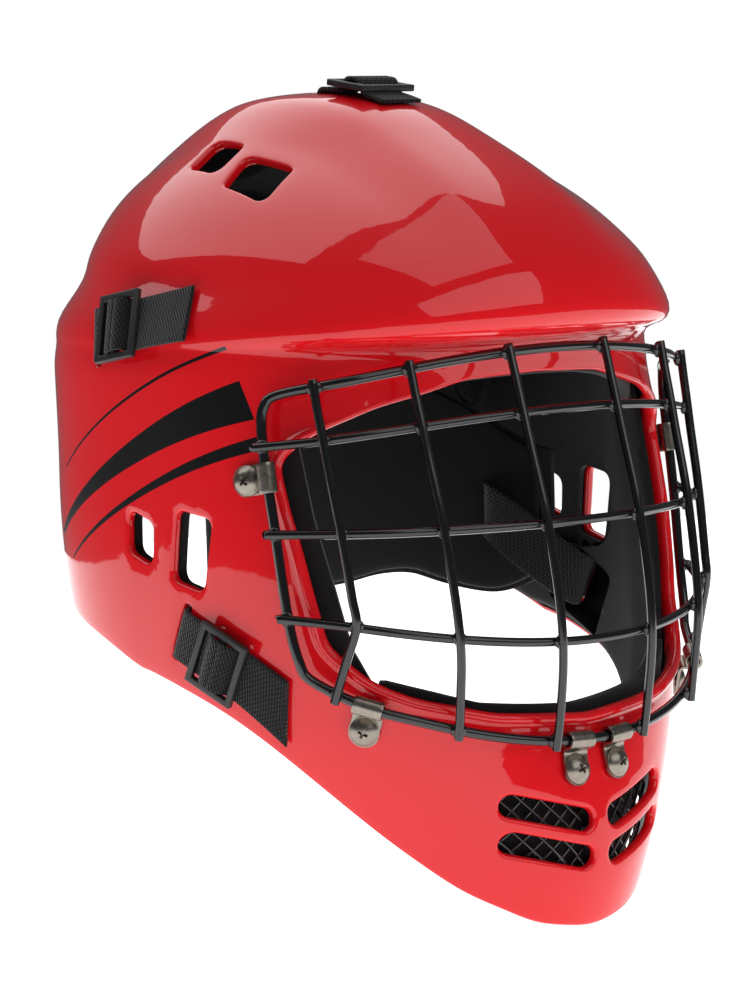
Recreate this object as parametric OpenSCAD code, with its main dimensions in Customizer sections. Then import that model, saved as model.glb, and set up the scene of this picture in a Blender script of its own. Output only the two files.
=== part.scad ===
// Floorball goalie helmet: a moulded shell with a wire face cage, foam padding and a back plate on webbing.
// The wearer looks towards -Y, the wearer's left is +X, and +Z is up. Lengths are in millimetres.
// Each paired piece is modelled on the wearer's left and mirrored to the right.

/* [Shell] */
// Width of the shell over the ears
shell_w = 218; // [200:1:240]
// Length of the shell sections, front to back
shell_l = 260; // [240:1:285]
// Height of the shell from the chin to the crown
shell_h = 308; // [285:1:335]
// Thickness of the moulded wall
wall = 4; // [3:0.25:5]
// Height that the crown band stands above the dome
crown_rise = 5; // [2:0.5:8]
// Width of the crown band
crown_band_w = 72; // [50:1:90]

/* [Face opening] */
// Width of the face opening
opening_w = 189; // [180:1:192]
// Height of the opening's top edge above the chin
opening_top = 207; // [200:1:210]
// Height of the opening's bottom edge above the chin
opening_bottom = 84; // [82:1:92]
// Radius of the opening's corners
opening_corner_r = 20; // [12:1:26]
// Diameter of the bead round the opening
bead_d = 6; // [4:0.25:7]

/* [Cage] */
// Diameter of the upright and cross wires
wire_d = 3.4; // [2.6:0.1:3.8]
// Diameter of the frame wire
frame_d = 3.8; // [3:0.1:4.2]
// Distance of the inner uprights from the middle
inner_upright_x = 24; // [18:1:30]
// Distance of the middle uprights from the middle
middle_upright_x = 64; // [56:1:72]
// Distance of the outer uprights from the middle
outer_upright_x = 94; // [90:1:96]
// Length that a wire's end stands past the frame
wire_lap = 3; // [1:0.5:5]

/* [Clips and screws] */
// Diameter of the screw's head
head_d = 11.4; // [9:0.1:12]
// Height of the screw's domed head
head_h = 3.2; // [2.4:0.1:4]
// Diameter of the screw's shank
shank_d = 5; // [4:0.1:5.5]
// Width of the clip's strip
clip_w = 11; // [9:0.5:12]
// Thickness of the clip's strip
clip_t = 1.2; // [0.8:0.1:1.6]
// Distance from the wire to the screw
clip_reach = 10.5; // [10:0.5:13]
// Diameter of the flanged nut's disc
nut_d = 10.5; // [9:0.5:12]

/* [Webbing and sliders] */
// Width of the webbing
web_w = 20; // [16:1:22]
// Thickness of the webbing
web_t = 1.6; // [1.2:0.1:2]
// Length of a slider along the webbing
slider_l = 22; // [20:1:26]
// Thickness of a slider's bars
slider_t = 2.6; // [2:0.1:3.2]
// Width of a slider's bars
slider_bar = 2.6; // [2.4:0.1:3]
// Length of a side tail past its slider
tail_l = 24; // [12:1:30]
// Length of the crown's tail past its slider
top_tail_l = 7; // [4:0.5:14]

/* [Padding] */
// Thickness of the foam padding
pad_t = 10; // [6:0.5:14]
// Thickness of the foam at its edge
pad_edge = 5; // [3:0.5:6]

/* [Back plate] */
// Distance from the back plate's wings to the skin of the shell
plate_gap = 23; // [21:1:34]
// Height of the back plate
plate_h = 92; // [80:1:100]
// Thickness of the back plate
plate_t = 3; // [2:0.25:4]
// Height of the back plate's lower edge above the chin
plate_bottom = 111; // [104:1:116]
// How far the middle of the plate lies behind the wing tips
plate_bow = 50; // [40:1:58]

/* [Vents] */
// Height of the chin slots
chin_slot_h = 8.6; // [6:0.2:10]
// Diameter of the mesh wire behind the chin slots
mesh_wire = 1.2; // [0.8:0.1:1.6]
// Spacing of the mesh wires
mesh_pitch = 8; // [6:0.5:10]

/* [Hidden] */

// Clearances
soft_gap = 0.7;
pad_gap = 1.3;
fit_gap = 0.4;
bore_gap = 0.1;
wrap_gap = 0.5;
// Size of the cutters that pass right through a wall
through = 60;

// Level sections of the shell, drawn 218 wide, 260 long and 308 high, and stretched with the sizes above:
// height, half width, front, back, widest place, front fullness, back fullness
sections = [
    [308,   0,   26,  26,  26, 2.0,  2.0],
    [306,  24,   -3,  52,  25, 2.0,  2.0],
    [300,  42,  -26,  69,  21, 2.0,  2.0],
    [290,  58,  -47,  87,  19, 2.0,  2.0],
    [279,  73,  -67, 101,  15, 2.05, 2.0],
    [267,  85,  -87, 110,  12, 2.1,  2.05],
    [253,  94, -104, 114,  12, 2.2,  2.1],
    [241, 100, -113, 119,  12, 2.3,  2.15],
    [229, 105, -116, 127,  12, 2.35, 2.2],
    [223, 107, -111, 129,  12, 2.4,  2.2],
    [219, 107,  -95, 129,  12, 2.45, 2.2],
    [212, 108,  -93, 130,  12, 2.5,  2.2],
    [203, 108,  -92, 130,  12, 2.6,  2.2],
    [180, 108,  -97, 129,  12, 2.72, 2.2],
    [149, 109, -106, 126,  14, 2.62, 2.2],
    [113, 108, -113, 118,  14, 2.45, 2.2],
    [ 76, 101, -115, 110,  12, 2.3,  2.2],
    [ 45,  88, -121, 102,   4, 2.15, 2.2],
    [ 24,  76, -120,  95,  -4, 2.1,  2.1],
    [  0,  64, -113,  86, -14, 2.1,  2.1]];
// Height of the shell's lower edge by angle from the face: low at the chin, an arch over the nape
lower_edge = [[0, 3], [20, 7], [40, 21], [55, 49], [65, 69], [75, 87], [100, 108], [130, 117], [150, 122],
              [160, 139], [170, 151], [180, 155]];
// Stretch of the drawn sections to the sizes above
sx = shell_w / 218;
sy = shell_l / 260;
sz = shell_h / 308;
last_row = len(sections) - 1;

function unit(a) = a / norm(a);
function clamp(a, low, high) = min(max(a, low), high);
function ease(a) = let (q = clamp(a, 0, 1)) q * q * (3 - 2 * q);
function mix(a, b, q) = a + (b - a) * q;
// A curve through four points, from the second to the third
function through_four(a, b, c, d, q) =
    ((2 * b) + (c - a) * q + (2 * a - 5 * b + 4 * c - d) * q * q + (3 * b - a - 3 * c + d) * q * q * q) / 2;
// The section above the crown's point mirrors the one below it, so the crown is round
function section_row(i) =
    i < 0 ? let (r = sections[1]) [r[0], -r[1], r[3], r[2], r[4], r[5], r[6]]
    : i > last_row ? 2 * sections[last_row] - sections[last_row - 1]
    : sections[i];
function section(v) =
    let (i = min(floor(v), last_row - 1), q = v - i,
         r = through_four(section_row(i - 1), section_row(i), section_row(i + 1), section_row(i + 2), q))
    [r[0] * sz, r[1] * sx, r[2] * sy, r[3] * sy, r[4] * sy, r[5], r[6]];
// Row of the section at a height, found by halving
function row_at(z, low = 0, high = last_row, left = 18) =
    left == 0 ? (low + high) / 2
    : let (m = (low + high) / 2)
      section(m)[0] > z ? row_at(z, m, high, left - 1) : row_at(z, low, m, left - 1);
function curve_power(a, n) = sign(a) * pow(abs(a), 2 / n);
function band_lift(x, z) =
    crown_rise * ease((crown_band_w / 2 + 14 - abs(x)) / 28) * ease((z / sz - 236) / 45);
// Point of the outer surface at an angle from the face and a section row
function skin(angle, v) =
    let (s = section(v), c = cos(angle), n = c > 0 ? s[5] : s[6],
         x = s[1] * curve_power(sin(angle), n),
         y = s[4] - (c > 0 ? s[4] - s[2] : s[3] - s[4]) * curve_power(c, n))
    [x, y, s[0] + band_lift(x, s[0])];
function skin_normal(angle, v) =
    let (dv = 0.03, da = 0.8, v1 = clamp(v, 0.05, last_row - 0.05),
         along = skin(angle + da, v1) - skin(angle - da, v1),
         down = skin(angle, v1 + dv) - skin(angle, v1 - dv))
    unit(cross(down, along));
// Point of a surface that lies a depth inside the skin
function under_skin(angle, v, depth) = skin(angle, v) - depth * skin_normal(angle, v);
// Angle of the skin's point at a place along the length, and at a place across the width
function angle_at_y(y, v) =
    let (s = section(v))
    y < s[4] ? acos(pow(clamp((s[4] - y) / (s[4] - s[2]), 0, 1), s[5] / 2))
             : 180 - acos(pow(clamp((y - s[4]) / (s[3] - s[4]), 0, 1), s[6] / 2));
function angle_at_x(x, v) =
    let (s = section(v)) sign(x) * asin(pow(clamp(abs(x) / s[1], 0, 1), s[5] / 2));
// Row of the dome's section that passes over a place
function inside_section(x, y, v) =
    let (s = section(v), n = y < s[4] ? s[5] : s[6], d = y < s[4] ? s[4] - s[2] : s[3] - s[4])
    pow(abs(x) / s[1], n) + pow(abs(y - s[4]) / d, n) < 1;
function row_over(x, y, low = 0.001, high = 8, left = 18) =
    left == 0 ? (low + high) / 2
    : let (m = (low + high) / 2)
      inside_section(x, y, m) ? row_over(x, y, low, m, left - 1) : row_over(x, y, m, high, left - 1);
function dome(x, y) = let (z = section(row_over(x, y))[0]) [x, y, z + band_lift(x, z)];
function dome_normal(x, y) =
    let (d = 1.5) unit(cross(dome(x + d, y) - dome(x - d, y), dome(x, y + d) - dome(x, y - d)));
// Height of the lower edge at an angle, and the row where it lies
function edge_height(angle) =
    let (a = abs(angle) > 180 ? 360 - abs(angle) : abs(angle),
         i = max([for (k = [0 : len(lower_edge) - 2]) lower_edge[k][0] <= a ? k : 0]),
         q = (a - lower_edge[i][0]) / (lower_edge[i + 1][0] - lower_edge[i][0]))
    sz * mix(lower_edge[i][1], lower_edge[i + 1][1], 0.65 * q + 0.35 * ease(q));

// Side place given by its length and height: point and normal
function side_point(y, z) = let (v = row_at(z)) skin(angle_at_y(y, v), v);
function side_normal(y, z) = let (v = row_at(z)) skin_normal(angle_at_y(y, v), v);

// Turns the X, Y and Z directions of a child to three given ones and moves it to a point
module stand_on(p, x, y, z)
    multmatrix([[x[0], y[0], z[0], p[0]], [x[1], y[1], z[1], p[1]], [x[2], y[2], z[2], p[2]], [0, 0, 0, 1]])
        children();

// Closed solid of rings that have the same number of points
module loft(rings, closed = false) {
    n = len(rings[0]);
    m = len(rings);
    sides = [for (i = [0 : closed ? m - 1 : m - 2]) for (k = [0 : n - 1])
        let (here = i * n, next = ((i + 1) % m) * n, k1 = (k + 1) % n,
             a = here + k, b = here + k1, c = next + k1, d = next + k)
        each [[a, b, c], [a, c, d]]];
    ends = closed ? [] : [[for (k = [n - 1 : -1 : 0]) k], [for (k = [0 : n - 1]) (m - 1) * n + k]];
    polyhedron([for (r = rings) each r], concat(sides, ends), convexity = 8);
}

// Round wire along points; the beside direction is never parallel to the wire
function wire_ring(p, along, r, sides, beside) =
    let (t = unit(along), a = unit(cross(t, beside)), b = cross(t, a))
    [for (k = [0 : sides - 1]) p + r * (cos(k * 360 / sides) * a - sin(k * 360 / sides) * b)];
module wire(points, d, beside, closed = false, sides = 8) {
    n = len(points);
    loft([for (i = [0 : n - 1])
        let (before = closed ? points[(i + n - 1) % n] : points[max(i - 1, 0)],
             after = closed ? points[(i + 1) % n] : points[min(i + 1, n - 1)])
        wire_ring(points[i], after - before, d / 2, sides, beside)], closed);
}
function smooth_route(p, closed, steps) =
    let (n = len(p))
    [for (i = [0 : closed ? n - 1 : n - 2]) for (k = [0 : steps - 1])
        through_four(p[closed ? (i + n - 1) % n : max(i - 1, 0)], p[i], p[(i + 1) % n],
                     p[closed ? (i + 2) % n : min(i + 2, n - 1)], k / steps)];

// Flat sheet: two layers of points, closed round the rim
module sheet(outer, inner) {
    m = len(outer);
    n = len(outer[0]);
    total = m * n;
    faces_out = [for (i = [0 : m - 2]) for (k = [0 : n - 2])
        let (a = i * n + k, b = a + 1, c = a + n + 1, d = a + n) each [[a, b, c], [a, c, d]]];
    faces_in = [for (f = faces_out) [f[2] + total, f[1] + total, f[0] + total]];
    rim = concat([for (k = [0 : n - 2]) [k + 1, k, k + total, k + 1 + total]],
                 [for (k = [0 : n - 2]) let (a = (m - 1) * n + k) [a, a + 1, a + 1 + total, a + total]],
                 [for (i = [0 : m - 2]) let (a = i * n) [a, a + n, a + n + total, a + total]],
                 [for (i = [0 : m - 2]) let (a = i * n + n - 1) [a + n, a, a + total, a + n + total]]);
    split_rim = [for (f = rim) each [[f[0], f[1], f[2]], [f[0], f[2], f[3]]]];
    polyhedron(concat([for (r = outer) each r], [for (r = inner) each r]),
               concat(faces_out, faces_in, split_rim), convexity = 8);
}

// Shell

shell_turns = 44;
shell_steps = 19;
function grid_row(angle, j) = row_at(edge_height(angle)) * j / shell_steps;
module shell_skin() {
    n = shell_turns;
    m = shell_steps;
    outer = [for (j = [1 : m]) for (k = [0 : n - 1])
        let (a = k * 360 / n - 180) skin(a, grid_row(a, j))];
    inner = [for (j = [1 : m]) for (k = [0 : n - 1])
        let (a = k * 360 / n - 180) under_skin(a, grid_row(a, j), wall)];
    top = dome(0, sections[0][4] * sy);
    count = n * m;
    points = concat(outer, inner, [top], [top - [0, 0, wall]]);
    skin_faces = concat(
        [for (k = [0 : n - 1]) [2 * count, (k + 1) % n, k]],
        [for (j = [0 : m - 2]) for (k = [0 : n - 1])
            let (a = j * n + k, b = j * n + (k + 1) % n, c = b + n, d = a + n) each [[a, c, d], [a, b, c]]]);
    wall_faces = [for (f = skin_faces)
        [for (q = [2, 1, 0]) f[q] == 2 * count ? 2 * count + 1 : f[q] + count]];
    rim = [for (k = [0 : n - 1])
        let (a = (m - 1) * n + k, b = (m - 1) * n + (k + 1) % n)
        each [[a, b + count, a + count], [a, b, b + count]]];
    polyhedron(points, concat(skin_faces, wall_faces, rim), convexity = 10);
}

// Outline of the face opening seen from the front, right half from the bottom to the top
half_w = sx * opening_w / 2;
top_z = sz * opening_top;
bottom_z = sz * opening_bottom;
opening_h = top_z - bottom_z;
// Places of the outline, as shares of the half width and of the height
opening_shares = [[0, 0], [0.434, 0.03], [0.815, 0.11], [0.92, 0.22], [0.955, 0.4], [0.986, 0.62], [1, 0.84],
                  [0.7, 0.93], [0.35, 0.99], [0, 1]];
opening_half = [for (q = opening_shares) [q[0] * half_w, bottom_z + q[1] * opening_h]];
function other_half(p) = [for (k = [len(p) - 2 : -1 : 1]) [-p[k][0], p[k][1]]];
module opening_outline()
    offset(r = opening_corner_r, $fn = 20) offset(delta = -opening_corner_r)
        polygon(concat(opening_half, other_half(opening_half)));
module face_opening()
    rotate([90, 0, 0]) linear_extrude(height = shell_l) opening_outline();

bead_sink = 0.6;
// Bead that stands on the skin round the sides and the bottom of the opening
bead_half = [[0, -0.6], [0.29, 0.6], [0.53, 4], [0.737, 8.8], [0.868, 17.5], [0.94, 34], [0.972, 60],
             [1.002, 84], [1.012, 98], [0.985, 108], [0.92, 112]];
function bead_point(q) =
    let (x = q[0] * half_w, z = bottom_z + q[1] * opening_h / 123 - 1, v = row_at(z))
    under_skin(angle_at_x(x, v), v, bead_sink);
bead_route = smooth_route(
    [for (k = [1 - len(bead_half) : len(bead_half) - 1])
        let (q = bead_half[abs(k)]) bead_point([sign(k) * q[0], q[1]])], false, 3);
module bead() wire(bead_route, bead_d, [0, 1, 0], false, 6);

// Vents and slots
side_vents = [[[16, 160], [1, 155], [2, 139], [16, 144]], [[-12, 161], [-30, 158], [-25, 131], [-9, 135]]];
crown_vents = [[59, 19, [[9, -7], [11, 11], [-9, 8], [-11, -11]]],
               [65, -14, [[14, -4], [13, 15], [-12, 6], [-9, -16]]]];
chin_vents = [[[8, 45], [36.5, 52.6]], [[8, 31], [36, 38.6]]];
module rounded_hole(corners, r, depth)
    hull() for (c = corners) translate([c[0], c[1], -depth / 2]) cylinder(r = r, h = depth, $fn = 12);
// Direction frame of a place on the dome: Z leaves the surface, Y climbs to the crown
module on_dome(x, y) {
    n = dome_normal(x, y);
    level = unit(cross([0, 0, 1], n));
    stand_on(dome(x, y), level, cross(n, level), n) children();
}
module side_vent_cutters(r)
    for (c = side_vents)
        let (q = [for (p = c) [p[0] * sy, p[1] * sz]], middle = (q[0] + q[1] + q[2] + q[3]) / 4)
        translate([shell_w / 2, 0, 0]) rotate([90, 0, 90])
            rounded_hole([for (p = q) p + (middle - p) * 3 / norm(middle - p)], r, through);
module vent_cutters() {
    side_vent_cutters(3);
    for (c = crown_vents)
        on_dome(c[0] * sx, c[1] * sy) rounded_hole([for (p = c[2]) p * (1 - 3 / norm(p))], 3, wall * 6);
    for (c = chin_vents)
        translate([0, sections[17][2] * sy, 0]) rotate([90, 0, 0])
            rounded_hole([for (p = c) [p[0] * sx, p[1] * sz]], chin_slot_h / 2, through);
}
slot_gap = 1;
slot_long = web_w + 3;
slot_short = web_t + 2 * slot_gap;
module slot_cutter() cube([slot_short, slot_long, wall * 4], center = true);

// Webbing routes on the side: slot and tail end, by length and height
upper_run = [[35 * sy, 223.5 * sz], [-30 * sy, 234 * sz]];
lower_run = [[-12 * sy, 116 * sz], [-69 * sy, 88 * sz]];
// The lower tail hangs down past its slider
lower_tail_drop = 7;
top_slot_y = 16 * sy;
// Unit direction of a run in the side view
function run_way(run) = unit(run[1] - run[0]);
// Frame of a run's point at a distance from its slot: point, direction, width direction, normal
function run_place(run, s) =
    let (past = max(s - slider_at, 0) / tail_l,
         drop = run == lower_run ? lower_tail_drop * past * past / 2 : 0)
    run[0] + s * run_way(run) - [0, drop];
function run_frame(run, s) =
    let (q = run_place(run, s), a = run_place(run, s + 1), b = run_place(run, s - 1),
         p = side_point(q[0], q[1]), n = side_normal(q[0], q[1]),
         t0 = side_point(a[0], a[1]) - side_point(b[0], b[1]), t = unit(t0 - (t0 * n) * n))
    [p, t, cross(n, t), n];
function top_frame(s) =
    let (p = dome(0, top_slot_y - s), n = dome_normal(0, top_slot_y - s), t = [0, -n[2], n[1]])
    [p, t, cross(n, t), n];
module on_frame(f) stand_on(f[0], f[1], f[2], f[3]) children();

module shell()
    color("#c8102e")
        difference() {
            union() {
                difference() {
                    shell_skin();
                    face_opening();
                }
                bead();
            }
            for (side = [0, 1]) mirror([side, 0, 0]) {
                vent_cutters();
                on_frame(run_frame(upper_run, 0)) slot_cutter();
                on_frame(run_frame(lower_run, 0)) slot_cutter();
                for (i = [0 : 2])
                    clip_stand(i) cylinder(d = shank_d + 2 * fit_gap, h = 40, center = true, $fn = 16);
            }
            on_frame(top_frame(0)) slot_cutter();
        }

// Cage

// How far the cage stands before its root line, by height
cage_depths = [[240, 57], [216, 65], [192, 72], [154, 82.5], [112, 88], [75, 83.5], [50, 76]];
// Half width of the cage's curve in plan, fuller above the jaw
function cage_half_w(z) = sx * (106 + 4 * clamp((z / sz - 94) / 20, 0, 1));
cage_root = -40 * sy;
function cage_depth(z) =
    let (zr = z / sz, n = len(cage_depths), i = max([for (k = [0 : n - 2]) cage_depths[k][0] >= zr ? k : 0]),
         q = (cage_depths[i][0] - zr) / (cage_depths[i][0] - cage_depths[i + 1][0]))
    sy * through_four(cage_depths[max(i - 1, 0)], cage_depths[i], cage_depths[i + 1],
                      cage_depths[min(i + 2, n - 1)], q)[1];
// Point of the cage's face, moved in by a depth along its level normal
function cage_point(x, z, depth) =
    let (d = cage_depth(z), w = cage_half_w(z),
         y = cage_root - d * sqrt(1 - pow(clamp(abs(x) / w, 0, 0.995), 2)),
         g = unit([x / pow(w, 2), (y - cage_root) / pow(d, 2)]))
    [x - depth * g[0], y - depth * g[1], z];
weld_sink = 0.2;
frame_in = (wire_d + frame_d) / 2;
function top_wire_z(x) = top_z + 9.5 - 0.00115 * x * x;
function bottom_wire_z(x) = bottom_z - 9.7 + 0.0024 * x * x;
side_wire = [[98, -61, 204], [101.8, -57, 199.5], [102.6, -56.5, 190], [102.5, -58.5, 174.5],
             [101.9, -61.5, 155], [100.6, -65.5, 125], [98.9, -69, 109], [95.5, -72.5, 101.5]];
function placed(p) = [p[0] * sx, p[1] * sy, p[2] * sz];
top_xs = sx * [0, 24, 48, 70, 87];
bottom_xs = sx * [86, 72, 54, 36, 18, 0];
frame_half = concat([for (x = top_xs) cage_point(x, top_wire_z(x), frame_in)],
                    [for (p = side_wire) placed(p)],
                    [for (x = bottom_xs) low_wire(x)]);
function mirrored(p) = [-p[0], p[1], p[2]];
frame_route = concat(frame_half, [for (k = [len(frame_half) - 2 : -1 : 1]) mirrored(frame_half[k])]);
module cage_frame() color("#17181a") wire(smooth_route(frame_route, true, 2), frame_d, [0, 1, 0], true);

// Cross wires lie behind the uprights and lap the outside of the frame
function crossbar_z(i, x) =
    i == 0 ? top_z - 12.5 - 0.0008 * x * x
    : i == 1 ? mix(bottom_z, top_z, 0.573)
    : bottom_z + 27.5 + 0.0012 * x * x;
// Places of the frame's side wire that the cross wires pass, and the direction that they pass it
crossbar_weld = [[102.6, -57, 186], [101.9, -61.5, 155], [100.6, -65.5, 125]];
crossbar_way = unit([0.62, 0.78, 0]);
crossbar_out = unit([0.78, -0.62, 0]);
module crossbar(i) {
    w = placed(crossbar_weld[i]) + (frame_in - weld_sink) * crossbar_out;
    z = crossbar_z(i, w[0]);
    weld = [w[0], w[1], z];
    half = concat([for (x = sx * [0, 16, 32, 48, 64, 80, 93]) cage_point(x, crossbar_z(i, x), wire_d)],
                  [weld, weld + wire_lap * crossbar_way]);
    route = concat([for (k = [len(half) - 1 : -1 : 1]) mirrored(half[k])], half);
    color("#17181a") wire(smooth_route(route, false, 2), wire_d, [0, 0, 1]);
}
module upper_crossbar() crossbar(0);
module middle_crossbar() crossbar(1);
module lower_crossbar() crossbar(2);

// Uprights stand before the cross wires, lean in towards the chin and lap both frame wires
upright_lean = 0.068;
function leaned(x, z) =
    x * (1 - upright_lean * pow(clamp((top_z + 10 - z) / (opening_h + 10), 0, 1), 1.3));
function upright_point(x, z) = cage_point(leaned(x, z), z, weld_sink);
module upright(place, corner = false) {
    x = sx * place;
    top = top_wire_z(x) + frame_d / 2 + wire_lap - wire_d / 2;
    low = leaned(x, bottom_z);
    bottom = bottom_wire_z(low) - frame_d / 2 - wire_lap + wire_d / 2;
    low_bar = crossbar_z(2, x);
    points = [for (k = [0 : 9]) upright_point(x, mix(top, low_bar, k / 9))];
    bend = upright_point(x, low_bar);
    // The outer upright turns back to the frame's low corner
    weld = mix(placed(side_wire[7]), low_wire(bottom_xs[0]), 0.42)
        + (frame_in - weld_sink) * unit([0.62, -0.75, -0.2]);
    lower = corner
        ? [mix(bend, weld, 0.5), weld, weld + wire_lap * unit(weld - bend)]
        : [for (k = [1 : 4]) upright_point(x, mix(low_bar, bottom, k / 4))];
    wire(concat(points, lower), wire_d, [1, 0, 0]);
}
module inner_upright_left() color("#17181a") upright(inner_upright_x);
module inner_upright_right() color("#17181a") mirror([1, 0, 0]) upright(inner_upright_x);
module middle_upright_left() color("#17181a") upright(middle_upright_x);
module middle_upright_right() color("#17181a") mirror([1, 0, 0]) upright(middle_upright_x);
module outer_upright_left() color("#17181a") upright(outer_upright_x, true);
module outer_upright_right() color("#17181a") mirror([1, 0, 0]) upright(outer_upright_x, true);

// Clips: a strip round the frame wire, a flat tab on the shell, a screw and a flanged nut

// Wire point and wire direction of each clip: temple, jaw and chin
function low_wire(x) = cage_point(x, bottom_wire_z(x), frame_in);
function low_wire_clip(x) = [low_wire(x), unit(low_wire(x + 4) - low_wire(x - 4))];
clip_wire = [[placed(side_wire[3]), unit(placed(side_wire[2]) - placed(side_wire[4]))],
             low_wire_clip(86 * sx), low_wire_clip(10 * sx)];
// Skin point and normal beside a place: the temple clip is found by its length, the others by their width
function drop(i, q) =
    i == 0 ? [side_point(q[1], q[2]), side_normal(q[1], q[2])]
    : let (v = row_at(q[2]), a = angle_at_x(q[0], v)) [skin(a, v), skin_normal(a, v)];
function slide_on(i, q, s) = let (e = q - s[0]) drop(i, s[0] + e - (e * s[1]) * s[1]);
// Screw's place: square to the wire along the skin, at the clip's reach
function clip_spot(i) =
    let (w = clip_wire[i], s = slide_on(i, w[0], drop(i, w[0])),
         q = w[0] + clip_reach * unit(cross(w[1], s[1])))
    slide_on(i, q, slide_on(i, q, drop(i, q)));
// Frame at the screw: X points from the wire to the screw, Z leaves the shell
module clip_stand(i) {
    s = clip_spot(i);
    n = s[1];
    d0 = s[0] - clip_wire[i][0];
    x = unit(d0 - (d0 * n) * n);
    stand_on(s[0], x, cross(n, x), n) children();
}
clip_bore_d = frame_d + 2 * wrap_gap;
seat_gap = 0.9;
tab_r = clip_w / 2;
// Height of the wire above the screw's seat and its distance along the tab
function clip_rise(i) = let (s = clip_spot(i)) (clip_wire[i][0] - s[0]) * s[1];
function clip_run(i) =
    let (s = clip_spot(i), d0 = s[0] - clip_wire[i][0]) norm(d0 - (d0 * s[1]) * s[1]);
module clip(i) {
    rise = clip_rise(i);
    run = clip_run(i);
    barrel_r = clip_bore_d / 2 + clip_t;
    low = seat_gap;
    color("#77736c") clip_stand(i)
        difference() {
            union() {
                translate([0, 0, low]) cylinder(r = tab_r, h = clip_t, $fn = 48);
                translate([-run / 2, 0, low + clip_t / 2]) cube([run, clip_w, clip_t], center = true);
                translate([-run, 0, rise]) rotate([90, 0, 0])
                    cylinder(r = barrel_r, h = clip_w, center = true, $fn = 48);
                translate([-run + clip_bore_d / 2 + clip_t / 2, 0, (rise + low + clip_t) / 2])
                    cube([clip_t, clip_w, max(abs(rise - low - clip_t), 0.2) + clip_t], center = true);
            }
            translate([-run, 0, rise]) rotate([90, 0, 0])
                cylinder(d = clip_bore_d, h = clip_w + 2, center = true, $fn = 48);
            cylinder(d = shank_d + 2 * fit_gap, h = 20, center = true, $fn = 40);
        }
}
module temple_clip_left() clip(0);
module temple_clip_right() mirror([1, 0, 0]) clip(0);
module jaw_clip_left() clip(1);
module jaw_clip_right() mirror([1, 0, 0]) clip(1);
module chin_clip_left() clip(2);
module chin_clip_right() mirror([1, 0, 0]) clip(2);

nut_flange = 1.2;
nut_gap = 1.1;
nut_neck_d = shank_d + 2.4;
shank_l = wall + 7;
head_seat = seat_gap + clip_t + 0.02;
module screw() {
    ball_r = (head_h * head_h + head_d * head_d / 4) / (2 * head_h);
    difference() {
        union() {
            intersection() {
                translate([0, 0, head_seat + head_h - ball_r]) sphere(r = ball_r, $fn = 96);
                translate([0, 0, head_seat]) cylinder(d = head_d, h = head_h, $fn = 64);
            }
            translate([0, 0, head_seat - shank_l]) cylinder(d = shank_d, h = shank_l + 0.5, $fn = 40);
        }
        for (turn = [0, 90]) rotate([0, 0, turn + 20])
            translate([0, 0, head_seat + head_h]) cube([head_d / 2, 1.1, head_h], center = true);
    }
}
// The screws and the nuts stand at all six clips
module at_clips() for (side = [0, 1]) mirror([side, 0, 0]) for (i = [0 : 2]) clip_stand(i) children();
module clip_screws() color("#807c74") at_clips() screw();
// The nut's disc bears on the wall's inside and its neck holds the shank
module nut()
    translate([0, 0, -wall - nut_gap - nut_flange]) difference() {
        union() {
            cylinder(d = nut_d, h = nut_flange, $fn = 48);
            translate([0, 0, -1.6]) cylinder(d = nut_neck_d, h = 1.7, $fn = 48);
        }
        translate([0, 0, -4]) cylinder(d = shank_d + 2 * bore_gap, h = 12, $fn = 40);
    }
module clip_nuts() color("#8a8780") at_clips() nut();

// Padding

pad_depth = wall + pad_gap;
// Thin layer of the side pads that stays over the vents
pad_base = 2.5;
// Thickness that swells from the edge to the crown of a cushion
function swell(a, b) = mix(pad_edge, pad_t, pow(max(sin(180 * a) * sin(180 * b), 0), 0.35));
function stepped(table, a) =
    let (i = max([for (k = [0 : len(table) - 2]) table[k][0] <= a ? k : 0]),
         q = clamp((a - table[i][0]) / (table[i + 1][0] - table[i][0]), 0, 1))
    mix(table[i][1], table[i + 1][1], q);
// Lowest place of a pad at an angle, just above the shell's edge
function pad_low(a, z) = max(z * sz, edge_height(a) + 1.5);

// Front edge of the side pad by height: it shows a little inside the opening
side_front = [[62, 47], [99, 42.5], [111, 46.7], [133, 49], [160, 52], [187, 53.5], [204, 54.5]];
side_columns = 16;
side_rows = 11;
function side_pad_place(k, j) =
    let (a = mix(50, 146, k / side_columns), z = mix(204 * sz, pad_low(a, 62), j / side_rows))
    [a + (stepped(side_front, z / sz) - 50) * (1 - k / side_columns), z];
module side_pad() {
    grid = function (swollen) [for (j = [0 : side_rows]) [for (k = [0 : side_columns])
        let (q = side_pad_place(k, j), thick = swollen ? swell(k / side_columns, j / side_rows) : 0)
        under_skin(q[0], row_at(q[1]), pad_depth + thick)]];
    difference() {
        sheet(grid(false), grid(true));
        // Ear window in the thick layer, and holes for the vents in the thin one
        intersection() {
            translate([shell_w / 2, -3 * sy, 149 * sz]) rotate([0, 90, 0])
                hull() for (y = [-19, 19])
                    translate([0, y, -through]) cylinder(r = 20, h = through, $fn = 28);
            thick_layer(60, 132, 122, 176, 8, 3);
        }
        side_vent_cutters(4);
        on_frame(run_frame(lower_run, 0)) translate([9, 0, 0])
            cube([34, web_w + 8, through], center = true);
        for (i = [0, 1]) clip_stand(i) cylinder(d = nut_d + 5, h = through, center = true, $fn = 20);
    }
}
module thick_layer(a0, a1, z0, z1, columns, rows) {
    layer = function (depth) [for (j = [0 : rows]) [for (k = [0 : columns])
        under_skin(mix(a0, a1, k / columns), row_at(mix(z1, z0, j / rows) * sz), depth)]];
    sheet(layer(pad_depth + pad_base), layer(pad_depth + 3 * pad_t));
}
module side_pad_left() color("#1b1c1d") side_pad();
module side_pad_right() color("#1b1c1d") mirror([1, 0, 0]) side_pad();

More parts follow.
